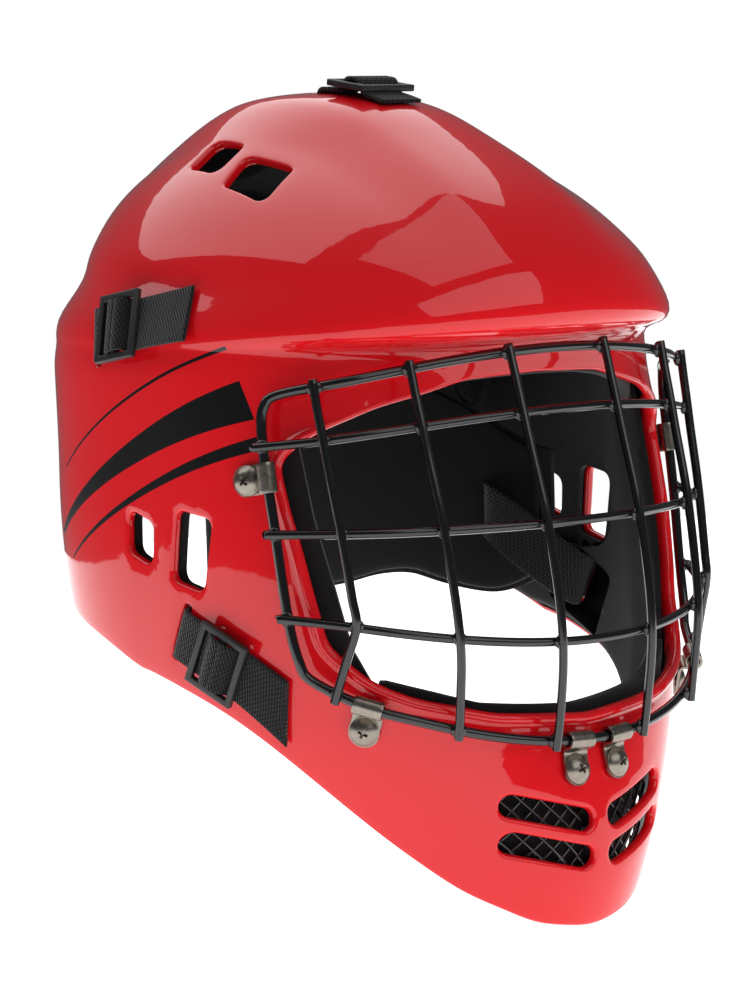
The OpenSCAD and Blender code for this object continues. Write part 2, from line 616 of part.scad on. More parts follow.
// The brow pad bridges the hollow brow and reaches down to the opening's top edge
brow_half = 52;
brow_high = 247;
brow_columns = 18;
brow_rows = 6;
module brow_pad() {
    grid = function (swollen) [for (j = [0 : brow_rows]) [for (k = [0 : brow_columns])
        let (a = mix(-brow_half, brow_half, k / brow_columns), low = 206 - 17 * pow(a / brow_half, 2),
             z = mix(brow_high, low, j / brow_rows) * sz,
             q = clamp((z / sz - 226) / (brow_high - 226), 0, 1),
             under = under_skin(a, row_at(212 * sz), pad_depth + 1),
             over = under_skin(a, row_at((brow_high + 5) * sz), pad_depth),
             p = mix(under, over, q) - (swollen ? swell(k / brow_columns, j / brow_rows) : 0) * unit(
                 skin_normal(a, row_at(203 * sz))))
        [p[0], p[1], z]]];
    color("#1b1c1d") sheet(grid(false), grid(true));
}
rear_columns = 16;
rear_rows = 6;
module rear_pad() {
    grid = function (swollen) [for (j = [0 : rear_rows]) [for (k = [0 : rear_columns])
        let (a = mix(124, 236, k / rear_columns), z = mix(262, 219, j / rear_rows) * sz,
             thick = swollen ? swell(k / rear_columns, j / rear_rows) : 0)
        under_skin(a, row_at(z), pad_depth + thick)]];
    color("#1b1c1d") sheet(grid(false), grid(true));
}
// The chin pad stands behind the mesh and shows a little above the opening's bottom edge
chin_half = 41;
chin_columns = 16;
chin_rows = 8;
chin_high = [[0, 86.5], [20, 90], [30, 94.5], [41, 99]];
mesh_room = 2 * mesh_wire + 0.9;
module chin_pad() {
    grid = function (swollen) [for (j = [0 : chin_rows]) [for (k = [0 : chin_columns])
        let (a = mix(-chin_half, chin_half, k / chin_columns),
             z = mix(stepped(chin_high, abs(a)) * sz, pad_low(a, 14), j / chin_rows),
             thick = swollen ? swell(k / chin_columns, j / chin_rows) : 0,
             room = mesh_room * ease((66 - z / sz) / 5))
        under_skin(a, row_at(z), pad_depth + room + thick)]];
    color("#1b1c1d") difference() {
        sheet(grid(false), grid(true));
        for (side = [0, 1]) mirror([side, 0, 0]) for (i = [1, 2])
            clip_stand(i) cylinder(d = nut_d + 5, h = through, center = true, $fn = 20);
    }
}
module crown_pad() {
    half = 30 * sx;
    xs = [for (k = [0 : 10]) mix(-half, half, k / 10)];
    ys = [for (j = [0 : 10]) mix(-44 * sy, 4 * sy, j / 10)];
    outer = [for (y = ys) [for (x = xs) dome(x, y) - pad_depth * dome_normal(x, y)]];
    inner = [for (j = [0 : 10]) [for (k = [0 : 10])
        dome(xs[k], ys[j]) - (pad_depth + swell(k / 10, j / 10)) * dome_normal(xs[k], ys[j])]];
    color("#1b1c1d") sheet(inner, outer);
}

// Back plate and its pad, drawn forwards by the elastic webbing when the helmet is empty

plate_front = -13 * sy;
plate_half = shell_w / 2 - plate_gap;
// Half of the plate's curve in plan: across by angle from the middle
function plate_plan(a, inward) =
    [(plate_half - inward) * sin(a), plate_front + (plate_bow - inward) * cos(a)];
// Lower edge with a dipped middle, two humps and two lobes; the upper edge falls to the wings
plate_edge = [[0, 7], [10, 8], [20, 10], [30, 9.5], [40, 5], [50, 1.5], [60, 0], [70, 2], [80, 6], [90, 10]];
function plate_low(a) =
    let (i = min(floor(abs(a) / 10), 8))
    plate_bottom + mix(plate_edge[i][1], plate_edge[i + 1][1], abs(a) / 10 - i);
function plate_high(a) = plate_bottom + plate_h - 34 * pow(abs(sin(a)), 3);
plate_steps = 22;
module bowed_sheet(span, low_in, high_in, depth0, depth1, rows, crown = 0) {
    layer = function (extra, swollen) [for (j = [0 : rows]) [for (k = [0 : plate_steps])
        let (a = mix(-span, span, k / plate_steps), z0 = plate_low(a) + low_in, z1 = plate_high(a) - high_in,
             lift = swollen ? crown * pow(max(sin(180 * k / plate_steps) * sin(180 * j / rows), 0), 0.4) : 0,
             p = plate_plan(a, extra + lift))
        [p[0], p[1], mix(z1, z0, j / rows)]]];
    sheet(layer(depth1, true), layer(depth0, false));
}
// The webbing is held in slots of the plate that are longer than its width
plate_slot_spare = 12;
seam_gap = 0.2;
top_slot_z = plate_bottom + plate_h - 12;
// Slots by wing angle and height, and the webbing's place in the slot
plate_slots = [[57, plate_bottom + 39, -4], [52, plate_bottom + plate_h - 26, 0]];
module plate_slot_frame(i) {
    a = plate_slots[i][0];
    p = plate_plan(a, plate_t / 2);
    n = unit([plate_bow * sin(a), plate_half * cos(a), 0]);
    stand_on([p[0], p[1], plate_slots[i][1]], [n[1], -n[0], 0], [0, 0, 1], n) children();
}
module back_plate()
    color("#1d1e20") difference() {
        bowed_sheet(88, 0, 0, 0, plate_t, 8);
        for (side = [0, 1]) mirror([side, 0, 0]) for (i = [0, 1])
            plate_slot_frame(i) cube([web_t + 2 * seam_gap, web_w + plate_slot_spare, 30], center = true);
        translate([0, plate_front + plate_bow, top_slot_z])
            cube([web_w + plate_slot_spare, 30, web_t + 2 * seam_gap], center = true);
    }
// The liner covers the inner face of the plate
module back_pad()
    color("#1b1c1d") difference() {
        bowed_sheet(82, 2, 2, plate_t + soft_gap, plate_t + soft_gap + pad_edge - 1, 8, 2);
        for (side = [0, 1]) mirror([side, 0, 0])
            plate_slot_frame(0) cube([5, web_w + plate_slot_spare, 30], center = true);
    }

// Mesh behind the chin slots: crossed wires between two rims, bent with the chin
mesh_depth = wall + 1;
function mesh_point(x, z) =
    let (v = row_at(z)) under_skin(angle_at_x(x, v), v, mesh_depth + mesh_wire);
mesh_x = [3, 43];
mesh_z = [26, 57.6];
module mesh_bar(p, q) {
    steps = 2;
    points = [for (k = [0 : steps]) let (m = mix(p, q, k / steps)) mesh_point(m[0] * sx, m[1] * sz)];
    wire(points, mesh_wire, [0, 1, 0], false, 4);
}
module chin_mesh() {
    w = mesh_x[1] - mesh_x[0];
    h = mesh_z[1] - mesh_z[0];
    for (s = [-h + mesh_pitch : mesh_pitch : w - 2]) {
        x0 = max(s, 0);
        x1 = min(s + h, w);
        mesh_bar([mesh_x[0] + x0, mesh_z[0] + x0 - s], [mesh_x[0] + x1, mesh_z[0] + x1 - s]);
        mesh_bar([mesh_x[0] + x0, mesh_z[1] - x0 + s], [mesh_x[0] + x1, mesh_z[1] - x1 + s]);
    }
    for (z = mesh_z) mesh_bar([mesh_x[0], z], [mesh_x[1], z]);
    for (x = mesh_x) mesh_bar([x, mesh_z[0]], [x, mesh_z[1]]);
}
module chin_mesh_left() color("#202124") chin_mesh();
module chin_mesh_right() color("#202124") mirror([1, 0, 0]) chin_mesh();

// Webbing

// Rectangle across the webbing at a point, with its thickness direction and width direction
function web_ring(p, thick, wide, w) =
    [p + wide * w / 2 + thick * web_t / 2, p - wide * w / 2 + thick * web_t / 2,
     p - wide * w / 2 - thick * web_t / 2, p + wide * w / 2 - thick * web_t / 2];
web_low = soft_gap + web_t / 2;
bend_r = 2.4;
slider_at = 8 + slider_l / 2;
// The lower slider stands a little further from its slot
lower_slider_at = slider_at + 3;
// Height of the webbing's middle above the skin: it climbs over the slider's middle bar
slider_low = web_low + web_t / 2 + fit_gap;
hump_h = slider_t + web_t + 2 * fit_gap;
function web_rise(s, at) =
    let (d = abs(s - at), flat = slider_bar / 2 + 0.8, fall = slider_l / 2 - slider_bar - flat - 0.8)
    web_low + hump_h * ease((flat + fall - d) / fall);
// The tail starts in the middle of the wall, turns out of the slot and lies along the run
module strap_tail(frames, at) {
    first = frames[0];
    out = [for (q = [0, 30, 60, 90])
        let (ahead = bend_r * (1 - cos(q)), lift = web_low - bend_r + bend_r * sin(q))
        web_ring(first[0] + first[1] * ahead + first[3] * lift,
                 first[3] * sin(q) - first[1] * cos(q), -first[2], web_w)];
    start = web_ring(first[0] - first[3] * wall / 2, -first[1], -first[2], web_w);
    run = [for (f = frames) if (f[4] > bend_r)
        web_ring(f[0] + f[3] * web_rise(f[4], at), f[3], -f[2], web_w)];
    color("#141415") loft(concat([start], out, run));
}
tail_steps = 22;
// Places along a tail: the slot, and then even steps to its cut end
function tail_places(at, tail) =
    let (last = at + slider_l / 2 + tail)
    concat([0], [for (k = [1 : tail_steps]) mix(bend_r + 0.5, last, (k - 1) / (tail_steps - 1))]);
module side_tail(run, at) strap_tail([for (s = tail_places(at, tail_l)) concat(run_frame(run, s), [s])], at);
module upper_strap_tail() side_tail(upper_run, slider_at);
module lower_strap_tail() side_tail(lower_run, lower_slider_at);
module top_strap_tail()
    strap_tail([for (s = tail_places(slider_at, top_tail_l)) concat(top_frame(s), [s])], slider_at);
module upper_strap_tail_left() upper_strap_tail();
module upper_strap_tail_right() mirror([1, 0, 0]) upper_strap_tail();
module lower_strap_tail_left() lower_strap_tail();
module lower_strap_tail_right() mirror([1, 0, 0]) lower_strap_tail();

// The inner part runs from the wall's middle to its slot in the back plate
function plate_slot_point(i, depth) =
    let (a = plate_slots[i][0], p = plate_plan(a, depth))
    [p[0], p[1], plate_slots[i][1] + plate_slots[i][2]];
function plate_slot_out(i) = let (a = plate_slots[i][0]) unit([plate_bow * sin(a), plate_half * cos(a), 0]);
module inner_strap(frame, goal, goal_out, goal_wide, ahead = 0) {
    p0 = frame[0] - frame[3] * wall / 2;
    lead = norm(goal - p0) / 3;
    a = p0 - frame[3] * (wall / 2 + 2.5);
    b = goal + goal_out * 8;
    a1 = a + frame[1] * ahead - frame[3] * (ahead > 0 ? 8 : lead);
    b1 = b + goal_out * lead;
    curve = [for (q = [0 : 0.125 : 1])
        let (u = 1 - q) u * u * (u * a + 3 * q * a1) + q * q * (3 * u * b1 + q * b)];
    points = concat([p0], curve, [goal]);
    n = len(points);
    color("#141415") loft([for (i = [0 : n - 1])
        let (t = unit(points[min(i + 1, n - 1)] - points[max(i - 1, 0)]),
             w0 = mix(frame[2], goal_wide, i / (n - 1)), w = unit(w0 - (w0 * t) * t))
        web_ring(points[i], cross(w, t), w, web_w)]);
}
down = [0, 0, -1];
module upper_strap()
    inner_strap(run_frame(upper_run, 0), plate_slot_point(1, 1), plate_slot_out(1), down);
// The lower webbing runs forwards through the side pad, round the wing, and over the liner to its slot
module lower_strap()
    inner_strap(run_frame(lower_run, 0), plate_slot_point(0, plate_t - 1), -plate_slot_out(0), down, 24);
module top_strap()
    inner_strap(top_frame(0), [0, plate_front + plate_bow - 1, top_slot_z], [0, 1, 0], [1, 0, 0]);
module upper_strap_left() upper_strap();
module upper_strap_right() mirror([1, 0, 0]) upper_strap();
module lower_strap_left() lower_strap();
module lower_strap_right() mirror([1, 0, 0]) lower_strap();

// Sliders: a frame with a middle bar, standing on the webbing
slider_w = web_w + 2 * slider_bar + 2 * fit_gap;
module slider_body() {
    window = (slider_l - 3 * slider_bar) / 2;
    translate([0, 0, slider_low]) difference() {
        translate([0, 0, slider_t / 2]) cube([slider_l, slider_w, slider_t], center = true);
        for (way = [-1, 1]) translate([way * (window + slider_bar) / 2, 0, slider_t / 2])
            cube([window, web_w + 2 * fit_gap, slider_t * 2], center = true);
    }
}
module upper_slider() color("#1a1b1c") on_frame(run_frame(upper_run, slider_at)) slider_body();
module lower_slider() color("#1a1b1c") on_frame(run_frame(lower_run, lower_slider_at)) slider_body();
module top_slider() color("#1a1b1c") on_frame(top_frame(slider_at)) slider_body();
module upper_slider_left() upper_slider();
module upper_slider_right() mirror([1, 0, 0]) upper_slider();
module lower_slider_left() lower_slider();
module lower_slider_right() mirror([1, 0, 0]) lower_slider();

// The lowest edge stands at zero height and the middle of the part's length over the origin
front_most = cage_point(leaned(inner_upright_x, 112), 112, 0)[1] - wire_d / 2;
back_most = sections[11][3] * sy;
module seated() translate([0, -(front_most + back_most) / 2, -lower_edge[0][1] * sz]) children();

seated() shell();
seated() cage_frame();
seated() upper_crossbar();
seated() middle_crossbar();
seated() lower_crossbar();
seated() inner_upright_left();
seated() inner_upright_right();
seated() middle_upright_left();
seated() middle_upright_right();
seated() outer_upright_left();
seated() outer_upright_right();
seated() temple_clip_left();
seated() temple_clip_right();
seated() jaw_clip_left();
seated() jaw_clip_right();
seated() chin_clip_left();
seated() chin_clip_right();
seated() clip_screws();
seated() clip_nuts();
seated() brow_pad();
seated() crown_pad();
seated() rear_pad();
seated() side_pad_left();
seated() side_pad_right();
seated() chin_pad();
seated() back_plate();
seated() back_pad();
seated() chin_mesh_left();
seated() chin_mesh_right();
seated() top_strap();
seated() top_strap_tail();
seated() top_slider();
seated() upper_strap_left();
seated() upper_strap_tail_left();
seated() upper_slider_left();
seated() upper_strap_right();
seated() upper_strap_tail_right();
seated() upper_slider_right();
seated() lower_strap_left();
seated() lower_strap_tail_left();
seated() lower_slider_left();
seated() lower_strap_right();
seated() lower_strap_tail_right();
seated() lower_slider_right();
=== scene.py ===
# %% [markdown]
# # A floorball goalie helmet
# The imported model gives the frame: every node, body and joint, in metres, with the face towards -Y and the
# wearer's left towards +X. Each visible piece is made here again with the finish that the real one has, at the
# node's place, and rides on the node's body; the webbing rides on none. The box is kept now, so the end can show
# that nothing grew.

# %% Load the frame
import math
from collections import Counter
from functools import partial
import bpy
import numpy as np
from mathutils import Matrix, Vector, noise
from mathutils.geometry import delaunay_2d_cdt


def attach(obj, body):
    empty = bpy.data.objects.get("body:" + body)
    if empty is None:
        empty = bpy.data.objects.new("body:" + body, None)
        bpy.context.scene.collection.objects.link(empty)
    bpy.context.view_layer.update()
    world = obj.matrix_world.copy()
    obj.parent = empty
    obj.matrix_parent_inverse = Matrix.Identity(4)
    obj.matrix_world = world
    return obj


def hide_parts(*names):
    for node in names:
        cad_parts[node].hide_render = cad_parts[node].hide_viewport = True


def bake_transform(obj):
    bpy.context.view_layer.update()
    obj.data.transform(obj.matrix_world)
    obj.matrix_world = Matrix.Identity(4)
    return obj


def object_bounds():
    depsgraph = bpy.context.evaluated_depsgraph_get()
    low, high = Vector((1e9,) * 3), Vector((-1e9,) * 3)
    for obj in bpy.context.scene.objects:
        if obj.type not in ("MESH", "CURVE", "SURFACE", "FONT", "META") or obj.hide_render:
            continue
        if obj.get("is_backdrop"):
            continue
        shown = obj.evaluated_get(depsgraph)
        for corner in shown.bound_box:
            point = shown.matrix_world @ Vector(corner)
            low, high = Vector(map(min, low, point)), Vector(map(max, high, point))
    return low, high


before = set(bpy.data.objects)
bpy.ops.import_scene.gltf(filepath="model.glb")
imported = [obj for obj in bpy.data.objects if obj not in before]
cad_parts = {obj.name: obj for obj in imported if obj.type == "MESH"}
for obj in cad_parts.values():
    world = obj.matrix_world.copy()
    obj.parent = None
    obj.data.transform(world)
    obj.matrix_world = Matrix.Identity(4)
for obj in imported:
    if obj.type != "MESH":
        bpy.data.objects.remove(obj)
cad_low, cad_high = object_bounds()
MM = 0.001
MERGE = 0.01 * MM

# %% [markdown]
# ## Small tools
# Lengths are written in millimetres, as on a drawing, and turned to metres in one place. The drawing stands the
# chin at zero height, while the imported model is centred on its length, so one offset joins the two.

# %% Lengths, frames and curves
SEAT = np.array([0, -1.113, -3.0])


def metres(points):
    """Drawing points in millimetres as frame points in metres."""
    return (np.asarray(points, float) + SEAT) * MM


def unit(v):
    v = np.asarray(v, float)
    return v / np.linalg.norm(v, axis=-1, keepdims=True)


def ease(q):
    q = np.clip(q, 0, 1)
    return q * q * (3 - 2 * q)


def between(a, b, c, d, q):
    """Point of the smooth curve from b to c, at a share of the way."""
    return (2 * b + (c - a) * q + (2 * a - 5 * b + 4 * c - d) * q**2 + (3 * b - a - 3 * c + d) * q**3) / 2


def through(points, steps, closed=False):
    """Smooth curve through the points, with some steps from each to the next."""
    p = np.asarray(points, float)
    ends = (p[-1:], p[:2]) if closed else (2 * p[:1] - p[1:2], 2 * p[-1:] - p[-2:-1])
    g = np.vstack([ends[0], p, ends[1]])
    out = []
    for i in range(len(p) if closed else len(p) - 1):
        out += [between(*g[i:i + 4], q) for q in np.arange(steps) / steps]
    return np.array(out if closed else out + [p[-1]])


def axes(p, x, y, z):
    """Matrix whose columns are three directions and a place."""
    m = np.eye(4)
    m[:3, 0], m[:3, 1], m[:3, 2], m[:3, 3] = x, y, z, p
    return Matrix(m)


def stand(p, x, y, z):
    """Matrix that takes a piece drawn in millimetres round the origin to its place in the frame."""
    return axes(np.asarray(p, float) + SEAT, x, y, z)


# %% Objects and operators
AS_DRAWN = Matrix.Translation(Vector(SEAT))
MIRROR = Matrix.Scale(-1, 4, (1, 0, 0))
HANDS = (("left", 1), ("right", -1))


def select_only(*objects):
    bpy.ops.object.select_all(action="DESELECT")
    for o in objects:
        o.select_set(True)
    bpy.context.view_layer.objects.active = objects[0]


def start(name):
    """Name the primitive that an operator has just added, with nothing else selected."""
    o = bpy.context.active_object
    o.name = o.data.name = name
    select_only(o)
    return o


def linked(name, data):
    o = bpy.data.objects.new(name, data)
    bpy.context.collection.objects.link(o)
    return o


def from_points(name, points, faces, edges=()):
    mesh = bpy.data.meshes.new(name)
    mesh.from_pydata([tuple(p) for p in points], edges, faces)
    mesh.validate()
    return linked(name, mesh)


def box(name, matrix, x, y, z):
    """Box with three side lengths, round the origin and then moved."""
    bpy.ops.mesh.primitive_cube_add(size=1)
    o = start(name)
    o.data.transform(matrix @ Matrix.Diagonal((x, y, z, 1)))
    return o


def copy_of(obj, name):
    return linked(name, obj.data.copy())


def join(name, pieces):
    select_only(*pieces)
    bpy.ops.object.join()
    return start(name)


def apply_modifier(obj, kind, **settings):
    select_only(obj)
    m = obj.modifiers.new("m", kind)
    for key, value in settings.items():
        setattr(m, key, value)
    bpy.ops.object.modifier_apply(modifier="m")


def bevel(obj, width, segments=2, angle=50):
    """Break the edges that are sharper than an angle in degrees."""
    apply_modifier(obj, "BEVEL", width=width, segments=segments, limit_method="ANGLE", angle_limit=math.radians(angle))


def cut(obj, cutter, **settings):
    """Cut a piece with a cutter, and throw the cutter away."""
    apply_modifier(obj, "BOOLEAN", object=cutter, operation="DIFFERENCE", solver="EXACT", **settings)
    bpy.data.objects.remove(cutter)


def outward(obj, merge=0.0):
    """Merge points closer than a distance, and turn every face outwards."""
    select_only(obj)
    bpy.ops.object.mode_set(mode="EDIT")
    bpy.ops.mesh.select_all(action="SELECT")
    if merge:
        bpy.ops.mesh.remove_doubles(threshold=merge)
    bpy.ops.mesh.normals_make_consistent(inside=False)
    bpy.ops.object.mode_set(mode="OBJECT")


def mirrored(obj):
    """Make a left piece the right one."""
    obj.data.transform(MIRROR)
    obj.data.flip_normals()
    return obj


def put(obj, matrix=AS_DRAWN):
    """Place a piece that was drawn in millimetres, and leave its object at the origin."""
    obj.data.transform(Matrix.Scale(MM, 4) @ matrix)
    if matrix.determinant() < 0:
        obj.data.flip_normals()
    obj.matrix_world = Matrix.Identity(4)


def smooth(obj, angle=40):
    select_only(obj)
    bpy.ops.object.shade_smooth_by_angle(angle=math.radians(angle))


def finish(obj, material, slot, body, *nodes):
    """Give a piece its finish, its body and the nodes that it stands for. A piece with no body is left unattached."""
    obj.data.materials.clear()
    obj.data.materials.append(material)
    if body:
        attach(obj, body)
    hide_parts(*nodes)
    print(obj.name, len(obj.data.polygons), "faces on", body or "two bodies")
    return obj


# %% [markdown]
# ## Finishes
# A finish is built from nodes and named for the real material and process. Its colour is written as on a colour
# card and turned to linear light. One function adds a node, sets its values and links it.

# %% Node tool and colours


def colour(card):
    c = [int(card[i:i + 2], 16) / 255 for i in (1, 3, 5)]
    return tuple(v / 12.92 if v <= 0.04045 else ((v + 0.055) / 1.055) ** 2.4 for v in c) + (1.0,)


def add(tree, kind, sockets=None, **settings):
    """Add a node. A socket is given a value, or another node's output to read."""
    n = tree.nodes.new(kind)
    for key, value in settings.items():
        setattr(n, key, value)
    for key, value in (sockets or {}).items():
        if isinstance(value, bpy.types.NodeSocket):
            tree.links.new(value, n.inputs[key])
        else:
            n.inputs[key].default_value = value
    return n


def new_finish(name, **shader):
    """Empty material with a Principled shader whose even values sit on its own sockets."""
    m = bpy.data.materials.new(name)
    m.use_nodes = True
    tree = m.node_tree
    tree.nodes.clear()
    s = add(tree, "ShaderNodeBsdfPrincipled")
    for key, value in shader.items():
        s.inputs[key.replace("_", " ")].default_value = value
    add(tree, "ShaderNodeOutputMaterial", {"Surface": s.outputs[0]})
    return m, tree, s


def noise_over(tree, scale, detail):
    """Noise over the object, with a number of cells to the metre."""
    place = add(tree, "ShaderNodeTexCoord").outputs["Object"]
    return add(tree, "ShaderNodeTexNoise", {"Vector": place, "Scale": scale, "Detail": detail}).outputs["Fac"]


def drive(tree, s, pattern, shades=None, rough=None, relief=None):
    """Let a pattern drive the shader's colour, roughness and relief, each from its low to its high value."""
    if shades:
        tone = add(tree, "ShaderNodeMixRGB", {0: pattern, 1: colour(shades[0]), 2: colour(shades[1])})
        tree.links.new(tone.outputs[0], s.inputs["Base Color"])
    if rough:
        worn = add(tree, "ShaderNodeMapRange", {"Value": pattern, "To Min": rough[0], "To Max": rough[1]})
        tree.links.new(worn.outputs[0], s.inputs["Roughness"])
    if relief:
        bump = add(tree, "ShaderNodeBump", {"Height": pattern, "Strength": relief[0], "Distance": relief[1]})
        tree.links.new(bump.outputs[0], s.inputs["Normal"])


# %% [markdown]
# ### Gloss paint over a moulded shell
# The shell is moulded in plastic, sprayed red and clear coated. The eye sees deep red with sharp reflections
# that waver slightly, because sprayed lacquer dries with an orange peel a few millimetres wide. The plain
# speed stripes are printed under the clear coat, so they share its gloss. Their shape is drawn from the height
# and length of each point, so they lie the same on both sides. Inside, the black plastic is left bare: a value
# kept at each point of the mesh tells the inner skin from the outer one.

# %% Gloss paint with stripes
paint, t, s = new_finish("gloss_paint_on_moulded_shell", Roughness=0.4, Specular_IOR_Level=0.05,
                         Coat_Roughness=0.035, Coat_IOR=1.5)
place = add(t, "ShaderNodeTexCoord").outputs["Object"]
xyz = add(t, "ShaderNodeSeparateXYZ", {0: place})
LENGTH, HEIGHT = xyz.outputs["Y"], xyz.outputs["Z"]
SHARP = 0.0002
red = add(t, "ShaderNodeMixRGB", {0: noise_over(t, 9.0, 2.0), 1: colour("#e60d1a"), 2: colour("#ec111c")})


def maths(operation, *values):
    return add(t, "ShaderNodeMath", dict(enumerate(values)), operation=operation).outputs[0]


def ramp(value, low, high, to_low=0.0, to_high=1.0):
    return add(t, "ShaderNodeMapRange", {"Value": value, "From Min": low, "From Max": high, "To Min": to_low,
                                         "To Max": to_high}).outputs[0]


def stripe(low, slope, curve, half_back, half_front, back, front):
    """Mask of a stripe: its middle climbs with the length, and its width tapers to the back."""
    climb = maths("ADD", maths("MULTIPLY", LENGTH, curve), slope)
    middle = maths("MULTIPLY_ADD", climb, LENGTH, low)
    away = maths("ABSOLUTE", maths("SUBTRACT", HEIGHT, middle))
    half = ramp(LENGTH, back, front, half_back, half_front)
    edge = ramp(maths("SUBTRACT", half, away), -SHARP / 2, SHARP / 2)
    start_cut = ramp(LENGTH, back, back - SHARP)
    end_cut = ramp(maths("SUBTRACT", LENGTH, maths("MULTIPLY_ADD", HEIGHT, 0.45, front)), 0.0, SHARP)
    return maths("MULTIPLY", edge, maths("MULTIPLY", start_cut, end_cut))


STRIPES = [(0.183, -0.42, -1.6, 0.0015, 0.0125, 0.074, -0.135),
           (0.166, -0.42, -1.6, 0.0005, 0.0042, 0.060, -0.135),
           (0.204, -0.42, -1.6, 0.0005, 0.0010, 0.066, -0.135)]
mask = stripe(*STRIPES[0])
for row in STRIPES[1:]:
    mask = maths("MAXIMUM", mask, stripe(*row))
face = add(t, "ShaderNodeMixRGB", {0: mask, 1: red.outputs[0], 2: colour("#0b0b0c")})
bare = ramp(add(t, "ShaderNodeAttribute", attribute_name="inside").outputs["Fac"], 0.85, 0.95)
both = add(t, "ShaderNodeMixRGB", {0: bare, 1: face.outputs[0], 2: colour("#121213")})
t.links.new(both.outputs[0], s.inputs["Base Color"])
t.links.new(ramp(bare, 0.0, 1.0, 1.0, 0.05), s.inputs["Coat Weight"])
bump = add(t, "ShaderNodeBump", {"Height": noise_over(t, 260.0, 1.0), "Strength": 0.05, "Distance": 0.0004})
t.links.new(bump.outputs[0], s.inputs["Coat Normal"])

# %% [markdown]
# ### Black finishes
# The cage is steel wire dipped in black coating: glossy, with a slight unevenness where the coating ran. The
# sliders are moulded nylon with a fine spark texture. The foam is closed-cell sheet, matte with tiny cells. The
# back plate is a thicker, firmer sheet of the same black, and the mesh behind the chin is coated as the cage is.

# %% Coated wire, moulded nylon and foam
coating, t, s = new_finish("black_dip_coating_on_steel_wire", Base_Color=colour("#08080a"), IOR=1.5,
                           Coat_Weight=0.5, Coat_Roughness=0.08)
drive(t, s, noise_over(t, 90.0, 1.0), rough=(0.14, 0.22), relief=(0.03, 0.0004))
nylon, t, s = new_finish("moulded_black_nylon", IOR=1.53)
drive(t, s, noise_over(t, 2600.0, 2.0), ("#141415", "#222224"), (0.36, 0.55), (0.3, 0.0001))


def foam_finish(name, dark, light, cell_mm):
    """Closed-cell foam: the cells are a Voronoi pattern of their real width."""
    m, t, s = new_finish(name, IOR=1.4, Specular_IOR_Level=0.25, Sheen_Weight=0.15, Sheen_Roughness=0.6)
    place = add(t, "ShaderNodeTexCoord").outputs["Object"]
    cells = add(t, "ShaderNodeTexVoronoi", {"Vector": place, "Scale": 1 / (cell_mm * MM)}).outputs["Distance"]
    patch = noise_over(t, 45.0, 3.0)
    both = add(t, "ShaderNodeMath", {0: cells, 1: patch}, operation="MULTIPLY").outputs[0]
    drive(t, s, both, shades=(dark, light))
    drive(t, s, patch, rough=(0.78, 0.95))
    drive(t, s, cells, relief=(0.25, 0.0002))
    return m


foam = foam_finish("closed_cell_black_foam", "#0d0d0e", "#1b1b1c", 0.6)
plate_sheet = foam_finish("firm_black_foam_sheet", "#111112", "#1d1d1e", 0.35)

# %% [markdown]
# ### Nickel-plated steel
# Clips, screws and nuts are stamped or headed steel with a dull nickel plating. A metal takes its look from its
# colour and roughness alone. Handling leaves faint streaks and duller patches, so the roughness varies.

# %% Nickel plating
nickel, t, s = new_finish("nickel_plated_steel", Metallic=1.0)
drive(t, s, noise_over(t, 420.0, 4.0), ("#7d776e", "#a39c91"), (0.2, 0.38))

# %% [markdown]
# ### Ribbed webbing
# The webbing is woven elastic: slanted ribs about a millimetre apart with finer picks across them. The pattern
# follows the piece's own UV map, which counts metres across and along the webbing, so it bends with it.

# %% Woven elastic
webbing, t, s = new_finish("woven_black_elastic", IOR=1.5, Specular_IOR_Level=0.3, Sheen_Weight=0.3,
                           Sheen_Roughness=0.4)
along = add(t, "ShaderNodeUVMap", uv_map="UVMap").outputs[0]
RIB, PICK, ONE_BAND = 1.15 * MM, 0.8 * MM, 0.314


def counted(width, turn=0.0):
    """Webbing's own map counted in bands of a width, turned by an angle."""
    return add(t, "ShaderNodeMapping", {"Vector": along, "Rotation": (0, 0, math.radians(turn)),
                                        "Scale": (1 / width, 1 / width, 1)}).outputs[0]


ribs = add(t, "ShaderNodeTexWave", {"Vector": counted(RIB, 62), "Scale": ONE_BAND, "Distortion": 0.6, "Detail": 1.0})
picks = add(t, "ShaderNodeTexWave", {"Vector": counted(PICK), "Scale": ONE_BAND}, bands_direction="Y")
weave = add(t, "ShaderNodeMath", {0: ribs.outputs["Fac"], 1: picks.outputs["Fac"]}, operation="MULTIPLY").outputs[0]
drive(t, s, weave, ("#0b0b0c", "#2c2c2e"), (0.9, 0.62), (0.9, 0.0004))
print("finishes", [m.name for m in bpy.data.materials])

# %% [markdown]
# ## The shell's surface
# The shell is described by level sections: for each height, the half width, how far it reaches to the front and
# to the back, where it is widest and how full its front and back are. A smooth curve runs through the rows, and a
# light smoothing of that curve lets reflections flow without kinks, as over a polished mould.

